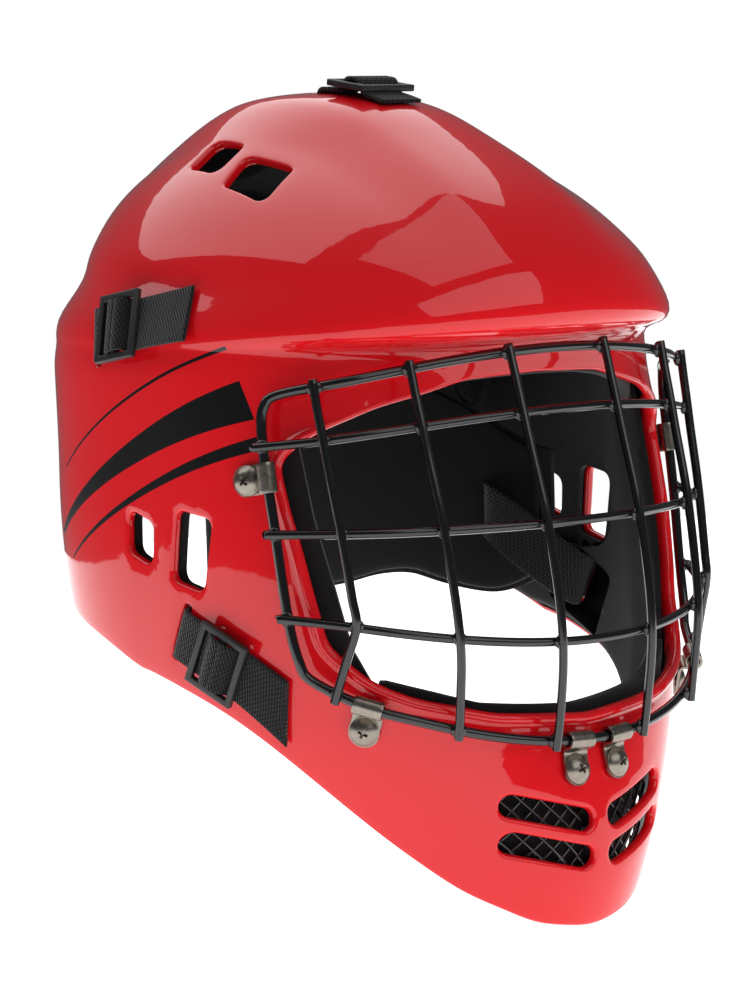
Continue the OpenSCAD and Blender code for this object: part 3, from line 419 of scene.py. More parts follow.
# %% Sections of the shell
SECTIONS = np.array([
    [308, 0, 26, 26, 26, 2.0, 2.0], [306, 24, -3, 52, 25, 2.0, 2.0], [300, 42, -26, 69, 21, 2.0, 2.0],
    [290, 58, -47, 87, 19, 2.0, 2.0], [279, 74, -67, 103, 15, 2.05, 2.0], [267, 86, -87, 112, 12, 2.1, 2.05],
    [253, 95, -104, 116, 12, 2.2, 2.1], [243, 98, -112, 117, 12, 2.3, 2.15], [230, 105, -116, 127, 12, 2.35, 2.2],
    [223, 107, -111, 129, 12, 2.4, 2.2], [219, 107, -95, 129, 12, 2.45, 2.2], [212, 108, -93, 130, 12, 2.5, 2.2],
    [203, 108, -92, 130, 12, 2.6, 2.2], [180, 108, -97, 129, 12, 2.72, 2.2], [149, 109, -106, 126, 14, 2.62, 2.2],
    [113, 108, -113, 118, 14, 2.45, 2.2], [76, 101, -115, 110, 12, 2.42, 2.2], [45, 88, -121, 102, 4, 2.15, 2.2],
    [24, 76, -120, 95, -4, 2.1, 2.1], [0, 64, -113, 86, -14, 2.1, 2.1]])
LOWER_EDGE = np.array([[0, 3], [20, 7], [40, 21], [50, 37.5], [60, 61], [66, 73], [75, 86], [100, 108.5],
                       [115, 115], [130, 120], [150, 125], [160, 139], [170, 151], [180, 155]])
WALL = 4.0
CROWN_RISE, CROWN_BAND, BAND_BLEND, BAND_LOW, BAND_CLIMB = 5.0, 72.0, 28, 236, 45
FINE = 40

over_top = SECTIONS[3:0:-1][:, [0, 1, 3, 2, 4, 5, 6]] * [1, -1, 1, 1, 1, 1, 1]
past_end = [2 * SECTIONS[-1] - SECTIONS[-2], 3 * SECTIONS[-1] - 2 * SECTIONS[-2]]
rows = through(np.vstack([over_top, SECTIONS, past_end]), FINE)
kernel = np.exp(-0.5 * (np.arange(-30, 31) / (0.22 * FINE)) ** 2)
rows = np.stack([np.convolve(c, kernel / kernel.sum(), "same") for c in rows.T], 1)
TABLE_V = np.arange(len(rows)) / FINE - 3
keep = (TABLE_V > -1.2) & (TABLE_V < 20.2)
TABLE_V, TABLE = TABLE_V[keep], rows[keep]
print("section table", TABLE.shape, "crown height", round(float(np.interp(0, TABLE_V, TABLE[:, 0])), 2))


def section(v):
    return [np.interp(v, TABLE_V, TABLE[:, k]) for k in range(7)]


def row_at(z):
    below_top = TABLE_V >= 0
    return np.interp(-np.asarray(z, float), -TABLE[below_top, 0], TABLE_V[below_top])


def skin(angle, v):
    """Outer surface at an angle from the face and a section row, both as arrays."""
    z, a, front, back, middle, nf, nb = section(v)
    q = np.radians(angle)
    s, c = np.sin(q), np.cos(q)
    n = np.where(c > 0, nf, nb)
    x = a * np.sign(s) * np.abs(s) ** (2 / n)
    y = middle - np.where(c > 0, middle - front, back - middle) * np.sign(c) * np.abs(c) ** (2 / n)
    inside_band = ease((CROWN_BAND / 2 + BAND_BLEND / 2 - np.abs(x)) / BAND_BLEND)
    lift = CROWN_RISE * inside_band * ease((z - BAND_LOW) / BAND_CLIMB)
    return np.stack([x, y, z + lift], -1)


def skin_normal(angle, v):
    angle, v = np.broadcast_arrays(np.asarray(angle, float), np.asarray(v, float))
    along = skin(angle + 0.4, v) - skin(angle - 0.4, v)
    v1 = np.clip(v, 0.05, 19)
    return unit(np.cross(skin(angle, v1 + 0.03) - skin(angle, v1 - 0.03), along))


def angle_at_y(y, v):
    _, _, front, back, middle, nf, nb = section(v)
    ahead = np.degrees(np.arccos(np.clip((middle - y) / (middle - front), 0, 1) ** (nf / 2)))
    behind = 180 - np.degrees(np.arccos(np.clip((y - middle) / (back - middle), 0, 1) ** (nb / 2)))
    return np.where(y < middle, ahead, behind)


def angle_at_x(x, v):
    a, nf = section(v)[1], section(v)[5]
    return np.sign(x) * np.degrees(np.arcsin(np.clip(np.abs(x) / a, 0, 1) ** (nf / 2)))


def over_place(x, y):
    """Angle and row of the dome above a place of the plan, found by halving."""
    x, y = np.asarray(x, float), np.asarray(y, float)
    low, high = np.full(x.shape, 0.001), np.full(x.shape, 8.0)
    for _ in range(30):
        v = (low + high) / 2
        _, a, front, back, middle, nf, nb = section(v)
        n = np.where(y < middle, nf, nb)
        d = np.where(y < middle, middle - front, back - middle)
        inside = (np.abs(x) / a) ** n + (np.abs(y - middle) / d) ** n < 1
        low, high = np.where(inside, low, v), np.where(inside, v, high)
    v = (low + high) / 2
    _, a, _, _, middle, nf, nb = section(v)
    q = np.degrees(np.arcsin(np.clip(np.abs(x) / a, 0, 1) ** (np.where(y < middle, nf, nb) / 2)))
    return np.sign(x) * np.where(y < middle, q, 180 - q), v


EDGE_ANGLE = np.arange(-40, 221)
edge = np.interp(180 - np.abs(180 - np.abs(EDGE_ANGLE)), LOWER_EDGE[:, 0], LOWER_EDGE[:, 1])
soft = np.exp(-0.5 * (np.arange(-12, 13) / 4) ** 2)
EDGE_Z = np.convolve(edge, soft / soft.sum(), "same")


def edge_height(angle):
    """Height of the lower edge, whose corners are smoothed over a few degrees."""
    return np.interp(np.abs((np.asarray(angle, float) + 180) % 360 - 180), EDGE_ANGLE, EDGE_Z)


# %% [markdown]
# ## Shell mesh with its openings
# The shell is one closed mesh: a fine net of quads outside, the same net a wall's thickness inside, and a rolled
# rim round every opening and along the lower edge. Cutting holes with a boolean leaves slivers that show in a
# gloss finish. Instead each hole's outline is drawn on the surface, the net's cells near it are left out, and
# the strip between is filled with triangles. The rim is then swept round the outline, so the raised bead and
# the soft vent edges belong to the same skin. This is point-by-point work, which operators can't give.

# %% Net of the shell
TURNS, EDGE_R = 240, 1.6
fine_angle = np.linspace(-180, 180, 3601)
belt = skin(fine_angle, np.full(3601, 12.0))
reach = np.concatenate([[0], np.cumsum(np.linalg.norm(np.diff(belt, axis=0), axis=1))])
COLUMN_ANGLE = np.interp(np.linspace(0, reach[-1], TURNS + 1), reach, fine_angle)
COLUMN_ANGLE[TURNS // 2] = 0
down = skin(np.full(1800, 20.0), np.linspace(0, 18.5, 1800))
side_down = skin(np.full(1800, 80.0), np.linspace(0, 18.5, 1800))
length = np.cumsum(np.linalg.norm(np.diff(down, axis=0), axis=1) + np.linalg.norm(np.diff(side_down, axis=0), axis=1))
ROWS = 130
ROW_W = np.interp(np.linspace(0, length[-1], ROWS + 1), np.concatenate([[0], length]), np.linspace(0, 1, 1800))
bottom_row = row_at(edge_height(COLUMN_ANGLE) + EDGE_R)


def row_v(angle, w):
    """Section row at a share of the way down to the lower edge."""
    return w * np.interp((np.asarray(angle) + 180) % 360 - 180, COLUMN_ANGLE, bottom_row)


def net_place(angle, v):
    """Column and row of the net, counted with fractions, for a place on the skin."""
    w = v / row_v(angle, 1.0)
    column = np.interp(angle, COLUMN_ANGLE, np.arange(TURNS + 1))
    return np.stack([column, np.interp(w, ROW_W, np.arange(ROWS + 1))], -1)


def from_net(place):
    """Angle and section row of a net place."""
    angle = np.interp(place[:, 0], np.arange(TURNS + 1), COLUMN_ANGLE)
    return angle, row_v(angle, np.interp(place[:, 1], np.arange(ROWS + 1), ROW_W))


# %% Outlines of the openings


def rounded(points, radius, step=1.6, soften=0):
    """Closed outline of a polygon whose corners are rounded, with points at an even step."""
    p = np.asarray(points, float)
    out = []
    for i in range(len(p)):
        a, b, c = p[i - 1], p[i], p[(i + 1) % len(p)]
        u, w = unit(a - b), unit(c - b)
        half = math.acos(np.clip(u @ w, -1, 1)) / 2
        cut = min(radius / math.tan(half), 0.48 * np.linalg.norm(a - b), 0.48 * np.linalg.norm(c - b))
        for q in np.linspace(0, 1, 13):
            out.append((1 - q) ** 2 * (b + u * cut) + 2 * q * (1 - q) * b + q**2 * (b + w * cut))
    out = np.array(out)
    ring = np.vstack([out, out[:1]])
    s = np.concatenate([[0], np.cumsum(np.linalg.norm(np.diff(ring, axis=0), axis=1))])
    n = int(s[-1] / step)
    even = np.stack([np.interp(np.arange(n) * s[-1] / n, s, ring[:, k]) for k in range(ring.shape[1])], -1)
    for _ in range(soften):
        even = 0.5 * even + 0.25 * (np.roll(even, 1, 0) + np.roll(even, -1, 0))
    return even


def grown(outline, by):
    """Outline moved outwards by a distance, wherever its points turn."""
    t = unit(np.roll(outline, -1, 0) - np.roll(outline, 1, 0))
    area = np.sum(outline[:, 0] * np.roll(outline[:, 1], -1) - outline[:, 1] * np.roll(outline[:, 0], -1))
    return outline + by * np.sign(area) * np.stack([t[:, 1], -t[:, 0]], -1)


OPENING_HALF = [[0, 81], [41, 84.7], [66, 91.5], [77, 97.5], [86.9, 111.1], [90.2, 133.2], [93.2, 160.3],
                [94.5, 187.3], [66.2, 198.4], [33.1, 205.8], [0, 207]]
opening = rounded(OPENING_HALF + [[-x, z] for x, z in OPENING_HALF[-2:0:-1]], 20, soften=6)
SIDE_VENTS = [[[16, 160], [1, 155], [2, 139], [16, 144]], [[-12, 161], [-30, 158], [-25, 131], [-9, 135]]]
CROWN_VENTS = [[59, 19, [[9, -7], [11, 11], [-9, 8], [-11, -11]]],
               [65, -14, [[14, -4], [13, 15], [-12, 6], [-9, -16]]]]
CHIN_SLOTS = [[[8, 45], [36.5, 52.6]], [[8, 31], [36, 38.6]]]
VENT_CORNER, VENT_STEP, CHIN_SLOT_R = 4.2, 1.2, 4.3
# The bead's radius and lead over the outline, and where it fades into the thin lip under the brow
BEAD_R, BEAD_LEAD = 2.5, 4.6
BEAD_TOP, BEAD_SLOPE, BEAD_CORNER, BEAD_SIDE, BEAD_FADE = 203, 0.072, 88, 150, 16
VENT_R, SLOT_R = 1.5, 0.9
UPPER_RUN = np.array([[35, 223.5], [-30, 234]])
LOWER_RUN = np.array([[-12, 116], [-69, 88]])
LOWER_DROP, DROP_FROM, DROP_OVER = 3.5, 19, 24
TOP_SLOT_Y = 16.0
SLOT_LONG, SLOT_SHORT = 23.0, 3.6


def on_front(outline):
    v = row_at(outline[:, 1])
    return angle_at_x(outline[:, 0], v), v


def on_side(outline):
    v = row_at(outline[:, 1])
    return angle_at_y(outline[:, 0], v), v


def on_plane(outline, p, x, y):
    """Project an outline drawn in a tangent plane to the dome below it."""
    flat = p + outline[:, :1] * x + outline[:, 1:] * y
    return over_place(flat[:, 0], flat[:, 1])


def dome_frame(x, y):
    """Point of the dome with its level, climbing and outward directions."""
    angle, v = over_place(x, y)
    p, n = skin(angle, v), skin_normal(angle, v)
    level = unit(np.cross([0, 0, 1], n))
    return p, level, np.cross(n, level), n


def side_frame(run, s):
    """Place on a side run of webbing: point, direction along it, width direction and normal."""
    way = unit(run[1] - run[0])
    hang = LOWER_DROP if run is LOWER_RUN else 0.0

    def at(q):
        y, z = run[0] + q * way - np.array([0, hang * max((q - DROP_FROM) / DROP_OVER, 0) ** 2])
        v = row_at(z)
        angle = angle_at_y(y, v)
        return skin(angle, v), skin_normal(angle, v)

    p, n = at(s)
    t = at(s + 1)[0] - at(s - 1)[0]
    t = unit(t - (t @ n) * n)
    return p, t, np.cross(n, t), n


def top_frame(s):
    angle, v = over_place(0.0, TOP_SLOT_Y - s)
    n = skin_normal(0.0 if TOP_SLOT_Y - s < SECTIONS[0, 2] else 180.0, v)
    n = unit(np.array([0, n[1], n[2]]))
    return skin(angle, v), np.array([0, -n[2], n[1]]), np.array([1.0, 0, 0]), n


def slot_outline():
    box = [[-SLOT_SHORT / 2, -SLOT_LONG / 2], [SLOT_SHORT / 2, -SLOT_LONG / 2],
           [SLOT_SHORT / 2, SLOT_LONG / 2], [-SLOT_SHORT / 2, SLOT_LONG / 2]]
    return grown(rounded(box, 1.2, 0.8), SLOT_R)


def on_run(outline, f):
    """Project an outline drawn across a side run to the skin, by its length and height."""
    flat = f[0] + outline[:, :1] * f[1] + outline[:, 1:] * f[2]
    return on_side(flat[:, 1:])


def vent_outline(corners, by):
    return grown(rounded(corners, VENT_CORNER, VENT_STEP), by)


def chin_slot_outline(a, b):
    """Long hole with round ends, from one end's middle to the other's."""
    a, b = np.array(a), np.array(b)
    u = unit(b - a)
    turn = np.linspace(0, math.pi, 15)[:, None]
    cap = CHIN_SLOT_R * (np.sin(turn) * u - np.cos(turn) * np.array([-u[1], u[0]]))
    return grown(rounded(np.vstack([b + cap, a - cap]), 0.2, 1.0), VENT_R)


loops = [("opening", *on_front(grown(opening, BEAD_LEAD)))]
for side in (1, -1):
    found = [("vent", on_side(vent_outline(corners, VENT_R))) for corners in SIDE_VENTS]
    for x, y, corners in CROWN_VENTS:
        p, level, climb, n = dome_frame(x, y)
        found.append(("vent", on_plane(vent_outline(corners, VENT_R), p, level, climb)))
    found += [("vent", on_front(chin_slot_outline(a, b))) for a, b in CHIN_SLOTS]
    found += [("slot", on_run(slot_outline(), side_frame(run, 0))) for run in (UPPER_RUN, LOWER_RUN)]
    loops += [(kind, side * angle, v) for kind, (angle, v) in found]
flat = slot_outline()
loops.append(("slot", *over_place(flat[:, 1], top_frame(0)[0][1] - flat[:, 0])))
print("openings", len(loops), "outline points", sum(len(l[1]) for l in loops))

# %% Fill between the net and the outlines


def inside(points, outline):
    """Which points lie inside a closed outline, by counting crossings."""
    x, y = points[:, 0:1], points[:, 1:2]
    x0, y0 = outline[:, 0], outline[:, 1]
    x1, y1 = np.roll(x0, -1), np.roll(y0, -1)
    with np.errstate(divide="ignore", invalid="ignore"):
        hit = ((y0 > y) != (y1 > y)) & (x < (x1 - x0) * (y - y0) / (y1 - y0) + x0)
    return hit.sum(1) % 2 == 1


def distance(points, outline):
    d = np.full(len(points), 1e9)
    for a, b in zip(outline, np.roll(outline, -1, 0)):
        ab = b - a
        q = np.clip(((points - a) @ ab) / max(ab @ ab, 1e-12), 0, 1)
        d = np.minimum(d, np.linalg.norm(points - (a + q[:, None] * ab), axis=1))
    return d


def cell(j, k):
    """The four net points of a cell, with the columns counted round."""
    return index[j, k], index[j, (k + 1) % TURNS], index[j + 1, (k + 1) % TURNS], index[j + 1, k]


net_loops = [net_place(angle, v) for _, angle, v in loops]
grid = np.array([[k, j] for j in range(ROWS + 1) for k in range(TURNS)], float)
dropped = np.zeros(len(grid), bool)
for loop in net_loops:
    near = np.all((grid > loop.min(0) - 2) & (grid < loop.max(0) + 2), 1)
    part = grid[near]
    dropped[np.flatnonzero(near)[inside(part, loop) | (distance(part, loop) < 0.75)]] = True
dropped[:TURNS] = False
index = np.arange(len(grid)).reshape(ROWS + 1, TURNS)
quads, gone = [], np.zeros((ROWS, TURNS), bool)
for j in range(1, ROWS):
    for k in range(TURNS):
        gone[j, k] = dropped[list(cell(j, k))].any()
        if not gone[j, k]:
            quads.append(cell(j, k))
edge_use = Counter()
for j, k in zip(*np.nonzero(gone)):
    c = cell(j, k)
    edge_use.update((min(e), max(e)) for e in zip(c, c[1:] + c[:1]))
border = [e for e, n in edge_use.items() if n == 1]
border_points = sorted({p for e in border for p in e})
seat_of = {p: i for i, p in enumerate(border_points)}
flat_points = [Vector(grid[p]) for p in border_points]
flat_edges = [(seat_of[a], seat_of[b]) for a, b in border]
loop_start = []
for loop in net_loops:
    first = len(flat_points)
    loop_start.append(first)
    flat_points += [Vector(p) for p in loop]
    flat_edges += [(first + i, first + (i + 1) % len(loop)) for i in range(len(loop))]
flat_out, _, flat_faces, origin, _, _ = delaunay_2d_cdt(flat_points, flat_edges, [], 0, 1e-7)
middles = np.array([np.mean([flat_out[i] for i in f], 0) for f in flat_faces])
cell_of = np.floor(middles).astype(int)
cell_of[:, 0] %= TURNS
fill = gone[np.clip(cell_of[:, 1], 0, ROWS - 1), cell_of[:, 0]]
for loop in net_loops:
    fill &= ~inside(middles, loop)
print("net", len(quads), "fill", int(fill.sum()), "points kept by the fill", len(flat_out) == len(flat_points))

# %% Sweep the rims and close the shell
angle, v = from_net(grid)
angle = np.concatenate([angle] + [l[1] for l in loops])
v = np.concatenate([v] + [l[2] for l in loops])
outer = skin(angle, v)
normal = skin_normal(angle, v)
pole = skin(np.array([0.0]), np.array([0.0]))[0]
outer[:TURNS], normal[:TURNS] = pole, [0, 0, 1]
loop_base = [len(grid) + s - len(border_points) for s in loop_start]


def shell_index(i):
    """Vertex of the shell for a point of the filled strip."""
    first = origin[i][0]
    return border_points[first] if first < len(border_points) else len(grid) + first - len(border_points)


skin_faces = [tuple(q) for q in quads] + [tuple(shell_index(i) for i in f) for f, ok in zip(flat_faces, fill) if ok]
for k in range(TURNS):
    skin_faces.append((0, index[1, (k + 1) % TURNS], index[1, k]))
used = sorted({i for f in skin_faces for i in f})
remap = {old: new for new, old in enumerate(used)}
points = [outer[i] for i in used] + [outer[i] - WALL * normal[i] for i in used]
count = len(used)
faces = []
for f in skin_faces:
    a, b, c = (outer[i] for i in f[:3])
    if np.cross(b - a, c - b) @ normal[f[1]] < 0:
        f = f[::-1]
    g = [remap[i] for i in f]
    faces.append(g)
    faces.append([i + count for i in reversed(g)])


def sweep_rim(ids, profiles):
    """Join outer and inner skin round an outline by a profile of (towards the hole, outwards) steps."""
    ids = list(ids)
    p, n = outer[ids], normal[ids]
    t = unit(np.roll(p, -1, 0) - np.roll(p, 1, 0))
    hole = np.cross(n, t)
    middle = p.mean(0)
    if np.mean(np.sum(hole * (middle - p), 1)) < 0:
        hole = -hole
    return rim_rows(ids, p, n, hole, profiles)


def rim_rows(ids, p, n, hole, profiles):
    m, steps = len(ids), profiles.shape[1]
    first = len(points)
    for k in range(steps):
        points.extend(p + profiles[:, k, :1] * hole + profiles[:, k, 1:] * n)
    ring = [[remap[i] for i in ids]] + [[first + k * m + i for i in range(m)] for k in range(steps)]
    ring.append([remap[i] + count for i in ids])
    a, b, c = points[ring[0][0]], points[ring[0][1]], points[ring[1][0]]
    turn = np.cross(b - a, c - a) @ n[0] > 0
    for one, two in zip(ring, ring[1:]):
        for i in range(m):
            q = [one[i], one[(i + 1) % m], two[(i + 1) % m], two[i]]
            faces.append(q if turn else q[::-1])


def plain_profile(r):
    """Quarter round from the outer skin, the wall's thickness, and a quarter round to the inner skin."""
    q = np.radians([22.5, 45, 67.5, 90])
    outer_turn = np.stack([r * np.sin(q), -r * (1 - np.cos(q))], -1)
    inner_turn = np.stack([r * np.cos(q - math.radians(22.5)), -WALL + r * (1 - np.sin(q - math.radians(22.5)))], -1)
    return np.vstack([outer_turn, inner_turn])


def bead_profile():
    """Hollow at the foot, a round bead over the outline, and its return to the inner skin."""
    lead = [[1.3, 0.02], [2.0, 0.2], [2.4, 0.55]]
    q = np.radians([35, 60, 85, 110, 135, 160, 185, 210])
    bead = np.stack([BEAD_LEAD - BEAD_R * np.cos(q) * 0.93, -0.6 + BEAD_R * np.sin(q)], -1)
    tail = [[BEAD_LEAD + 1.2, -2.9], [BEAD_LEAD - 0.2, -3.7], [BEAD_LEAD - 1.4, -4.0]]
    return np.vstack([lead, bead, tail])


def lip_profile():
    """Thin lip with as many steps as the bead."""
    r = 1.4
    lead = [[1.3, 0.0], [2.4, 0.0], [3.3, 0.0]]
    q = np.radians([10, 28, 46, 64, 90])
    turn = np.stack([BEAD_LEAD - r + r * np.sin(q), -r * (1 - np.cos(q))], -1)
    wall = [[BEAD_LEAD, -2.2], [BEAD_LEAD, -2.8], [BEAD_LEAD - 0.35, -3.4]]
    tail = [[BEAD_LEAD - 0.8, -3.75], [BEAD_LEAD - 1.4, -3.95], [BEAD_LEAD - 2.4, -4.0]]
    return np.vstack([lead, turn, wall, tail])


for (kind, _, _), base, loop in zip(loops, loop_base, net_loops):
    ids = range(base, base + len(loop))
    if kind == "opening":
        x, z = np.abs(outer[list(ids), 0]), outer[list(ids), 2]
        below = BEAD_TOP - z - BEAD_SLOPE * np.maximum(0, BEAD_CORNER - x)
        share = np.where(z < BEAD_SIDE, 1.0, ease(below / BEAD_FADE))[:, None, None]
        sweep_rim(ids, share * bead_profile() + (1 - share) * lip_profile())
    else:
        r = SLOT_R if kind == "slot" else VENT_R
        sweep_rim(ids, np.broadcast_to(plain_profile(r), (len(loop), 8, 2)))
low = list(index[ROWS])
below = -unit(outer[list(index[ROWS - 1])] - outer[low])
rim_rows(low, outer[low], normal[low], below, np.broadcast_to(plain_profile(EDGE_R), (TURNS, 8, 2)))
shell = from_points("helmet_shell", metres(points), faces)
within = np.zeros(len(shell.data.vertices))
within[count:2 * count] = 1
shell.data.attributes.new("inside", "FLOAT", "POINT").data.foreach_set("value", within)
outward(shell, MERGE)
smooth(shell, 60)
finish(shell, paint, "shell", "helmet", "shell")

# %% [markdown]
# ## Cage
# The cage is welded from ten round wires. One closed wire follows the opening. Three cross wires lap it at the
# sides, and six uprights lie over the cross wires. Each is drawn as a curve with a round section, made a mesh,
# and its cut ends are broken with a small bevel, because the coating rounds them off.

# %% Round wires
WIRE_D, FRAME_D, LAP, WELD_SINK = 3.4, 3.8, 3.0, 0.2
FRAME_IN = (WIRE_D + FRAME_D) / 2
OPENING_TOP, OPENING_BOTTOM = 207.0, 84.0
CAGE_ROOT, CAGE_HALF, CAGE_SPREAD = -40.0, 106, 4
CAGE_DEPTHS = np.array([[240, 57], [216, 65], [192, 72], [154, 82.5], [112, 88], [75, 83.5], [50, 76]])


def cage_point(x, z, depth):
    """Point of the cage's face, moved in by a depth along its level normal."""
    i = int(np.clip(np.sum(CAGE_DEPTHS[:, 0] >= z) - 1, 0, 5))
    q = (CAGE_DEPTHS[i, 0] - z) / (CAGE_DEPTHS[i, 0] - CAGE_DEPTHS[i + 1, 0])
    reach = between(*(CAGE_DEPTHS[k, 1] for k in (max(i - 1, 0), i, i + 1, min(i + 2, 6))), q)
    wide = CAGE_HALF + CAGE_SPREAD * np.clip((z - 94) / 20, 0, 1)
    y = CAGE_ROOT - reach * math.sqrt(1 - min(abs(x) / wide, 0.995) ** 2)
    g = unit([x / wide**2, (y - CAGE_ROOT) / reach**2])
    return np.array([x - depth * g[0], y - depth * g[1], z])


def wire(name, points, d, closed=False, sides=4):
    """Round wire along points in millimetres, as a mesh with broken ends."""
    data = bpy.data.curves.new(name, "CURVE")
    data.dimensions = "3D"
    data.bevel_depth, data.bevel_resolution, data.use_fill_caps = d / 2 * MM, sides, True
    line = data.splines.new("POLY")
    line.points.add(len(points) - 1)
    line.points.foreach_set("co", np.c_[metres(points), np.ones(len(points))].ravel())
    line.use_cyclic_u = closed
    select_only(linked(name, data))
    bpy.ops.object.convert(target="MESH")
    o = start(name)
    if not closed:
        outward(o, MERGE)
        bevel(o, 0.12 * d * MM, angle=60)
    smooth(o, 45)
    return o


def across(p, m):
    """The same place or direction on the left, 1, or on the right, -1."""
    return np.asarray(p) * [m, 1, 1]


def top_wire_z(x):
    return OPENING_TOP + 9.5 - 0.00115 * x * x


def bottom_wire_z(x):
    return OPENING_BOTTOM - 9.7 + 0.0024 * x * x


SIDE_WIRE = [[98, -61, 204], [101.8, -57, 199.5], [102.6, -56.5, 190], [102.5, -58.5, 174.5], [101.9, -61.5, 155],
             [100.6, -65.5, 125], [98.9, -69, 109], [95.5, -72.5, 101.5]]
half = [cage_point(x, top_wire_z(x), FRAME_IN) for x in (0, 24, 48, 70, 87)] + [np.array(p) for p in SIDE_WIRE]
half += [cage_point(x, bottom_wire_z(x), FRAME_IN) for x in (86, 72, 54, 36, 18, 0)]
route = half + [p * [-1, 1, 1] for p in half[-2:0:-1]]
finish(wire("frame_wire", through(route, 8, True), FRAME_D, True), coating, "cage_wire", "helmet", "cage_frame")

# %% Cross wires
CROSS_WELD = [[102.6, -57, 186], [101.9, -61.5, 155], [100.6, -65.5, 125]]
CROSS_WAY, CROSS_OUT = unit([0.62, 0.78, 0]), unit([0.78, -0.62, 0])
BULGE = 1.8
welds = []


def weld_at(p, out, size):
    welds.extend((across(p, m), across(out, m), size) for _, m in HANDS)


def cross_z(i, x):
    if i == 0:
        return OPENING_TOP - 12.5 - 0.0008 * x * x
    if i == 1:
        return OPENING_BOTTOM + 0.573 * (OPENING_TOP - OPENING_BOTTOM)
    return OPENING_BOTTOM + 27.5 + 0.0012 * x * x


for i, name in enumerate(("upper", "middle", "lower")):
    w = CROSS_WELD[i] + (FRAME_IN - WELD_SINK) * CROSS_OUT
    w[2] = cross_z(i, w[0])
    half = [cage_point(x, cross_z(i, x), WIRE_D) for x in (0, 16, 32, 48, 64, 80, 93)] + [w, w + LAP * CROSS_WAY]
    route = [p * [-1, 1, 1] for p in half[:0:-1]] + half
    o = wire(name + "_cross_wire", through(route, 6), WIRE_D)
    finish(o, coating, "cage_wire", "helmet", name + "_crossbar")
    weld_at(w - BULGE * CROSS_OUT, CROSS_OUT, 1.15)

# %% Uprights
LEAN, LOW = 0.068, OPENING_TOP - OPENING_BOTTOM
CORNER_OUT = unit([0.62, -0.75, -0.2])


def leaned(x, z):
    return x * (1 - LEAN * np.clip((OPENING_TOP + 10 - z) / (LOW + 10), 0, 1) ** 1.3)


def upright_point(x, z):
    return cage_point(leaned(x, z), z, WELD_SINK)


for kind, x in (("inner", 24.0), ("middle", 64.0), ("outer", 94.0)):
    top = top_wire_z(x) + FRAME_D / 2 + LAP - WIRE_D / 2
    foot = leaned(x, OPENING_BOTTOM)
    bottom = bottom_wire_z(foot) - FRAME_D / 2 - LAP + WIRE_D / 2
    bar = cross_z(2, x)
    route = [upright_point(x, top + (bar - top) * k / 9) for k in range(10)]
    if kind == "outer":
        low_corner = np.array(SIDE_WIRE[7])
        weld = low_corner + 0.42 * (cage_point(86, bottom_wire_z(86), FRAME_IN) - low_corner)
        weld = weld + (FRAME_IN - WELD_SINK) * CORNER_OUT
        route += [(route[-1] + weld) / 2, weld, weld + LAP * unit(weld - route[-1])]
        weld_at(weld - BULGE * CORNER_OUT, CORNER_OUT, 1.2)
    else:
        route += [upright_point(x, bar + (bottom - bar) * k / 4) for k in range(1, 5)]
    spots = [(x, top_wire_z(x), 1.25)] + [(x, cross_z(i, x), 1.1) for i in range(3)]
    if kind != "outer":
        spots.append((x, bottom_wire_z(foot), 1.25))
    for sx, sz, size in spots:
        p = cage_point(leaned(sx, sz), sz, WIRE_D / 2 + 0.1)
        weld_at(p, unit(p - cage_point(leaned(sx, sz), sz, WIRE_D / 2 + 1.1)), size)
    for side, m in HANDS:
        o = wire(f"{kind}_upright_wire_{side}", through([across(p, m) for p in route], 5), WIRE_D)
        finish(o, coating, "cage_wire", "helmet", f"{kind}_upright_{side}")

# %% [markdown]
# Where two wires cross, resistance welding sinks them into each other and squeezes a little metal out, which the
# coating then rounds. One such lump is a squashed ball, dented by noise. It is copied to every crossing.

# %% Welds
bpy.ops.mesh.primitive_uv_sphere_add(segments=20, ring_count=12, radius=1)
lump = start("weld_lump")
for v in lump.data.vertices:
    wave = 1 + 0.12 * noise.noise(v.co * 2.3)
    v.co = Vector((v.co.x * 2.35 * wave, v.co.y * 2.35 * wave, v.co.z * 1.25 * wave))
smooth(lump, 60)
lumps = []
for k, (p, out, size) in enumerate(welds):
    o = copy_of(lump, f"lump_{k}")
    x = unit(np.cross([0, 0, 1], out))
    put(o, stand(p, x * size, np.cross(out, x) * size, np.asarray(out) * size))
    lumps.append(o)
bpy.data.objects.remove(lump)
finish(join("cage_welds", lumps), coating, "cage_wire", "helmet")

# %% [markdown]
# ## Clips, screws and nuts
# Six steel strips are wrapped round the frame wire and screwed to the shell. A strip starts as a flat grid and is
# laid along its path: a rounded tab on the shell, a rise beside the wire and a loop round it. A modifier gives it
# the sheet's thickness and another breaks its edges. The screw's dome is turned on a lathe, so it is spun from
# half its outline, and the cross recess is cut with two tapered blades.

# %% Bent strip


def laid_grid(name, along, across, shape, weight=None):
    """Flat grid whose points are laid, and weighted, by functions of the shares along and across."""
    bpy.ops.mesh.primitive_grid_add(x_subdivisions=along, y_subdivisions=across, size=1)
    o = start(name)
    group = o.vertex_groups.new(name="swell") if weight else None
    for v in o.data.vertices:
        place = v.co.x + 0.5, v.co.y + 0.5
        v.co = Vector(shape(*place))
        if weight:
            group.add([v.index], weight(*place), "REPLACE")
    return o


CLIP_W, CLIP_T, CLIP_BORE, TAB_R, SEAT_GAP = 11.0, 1.1, 4.6, 6.0, 0.9
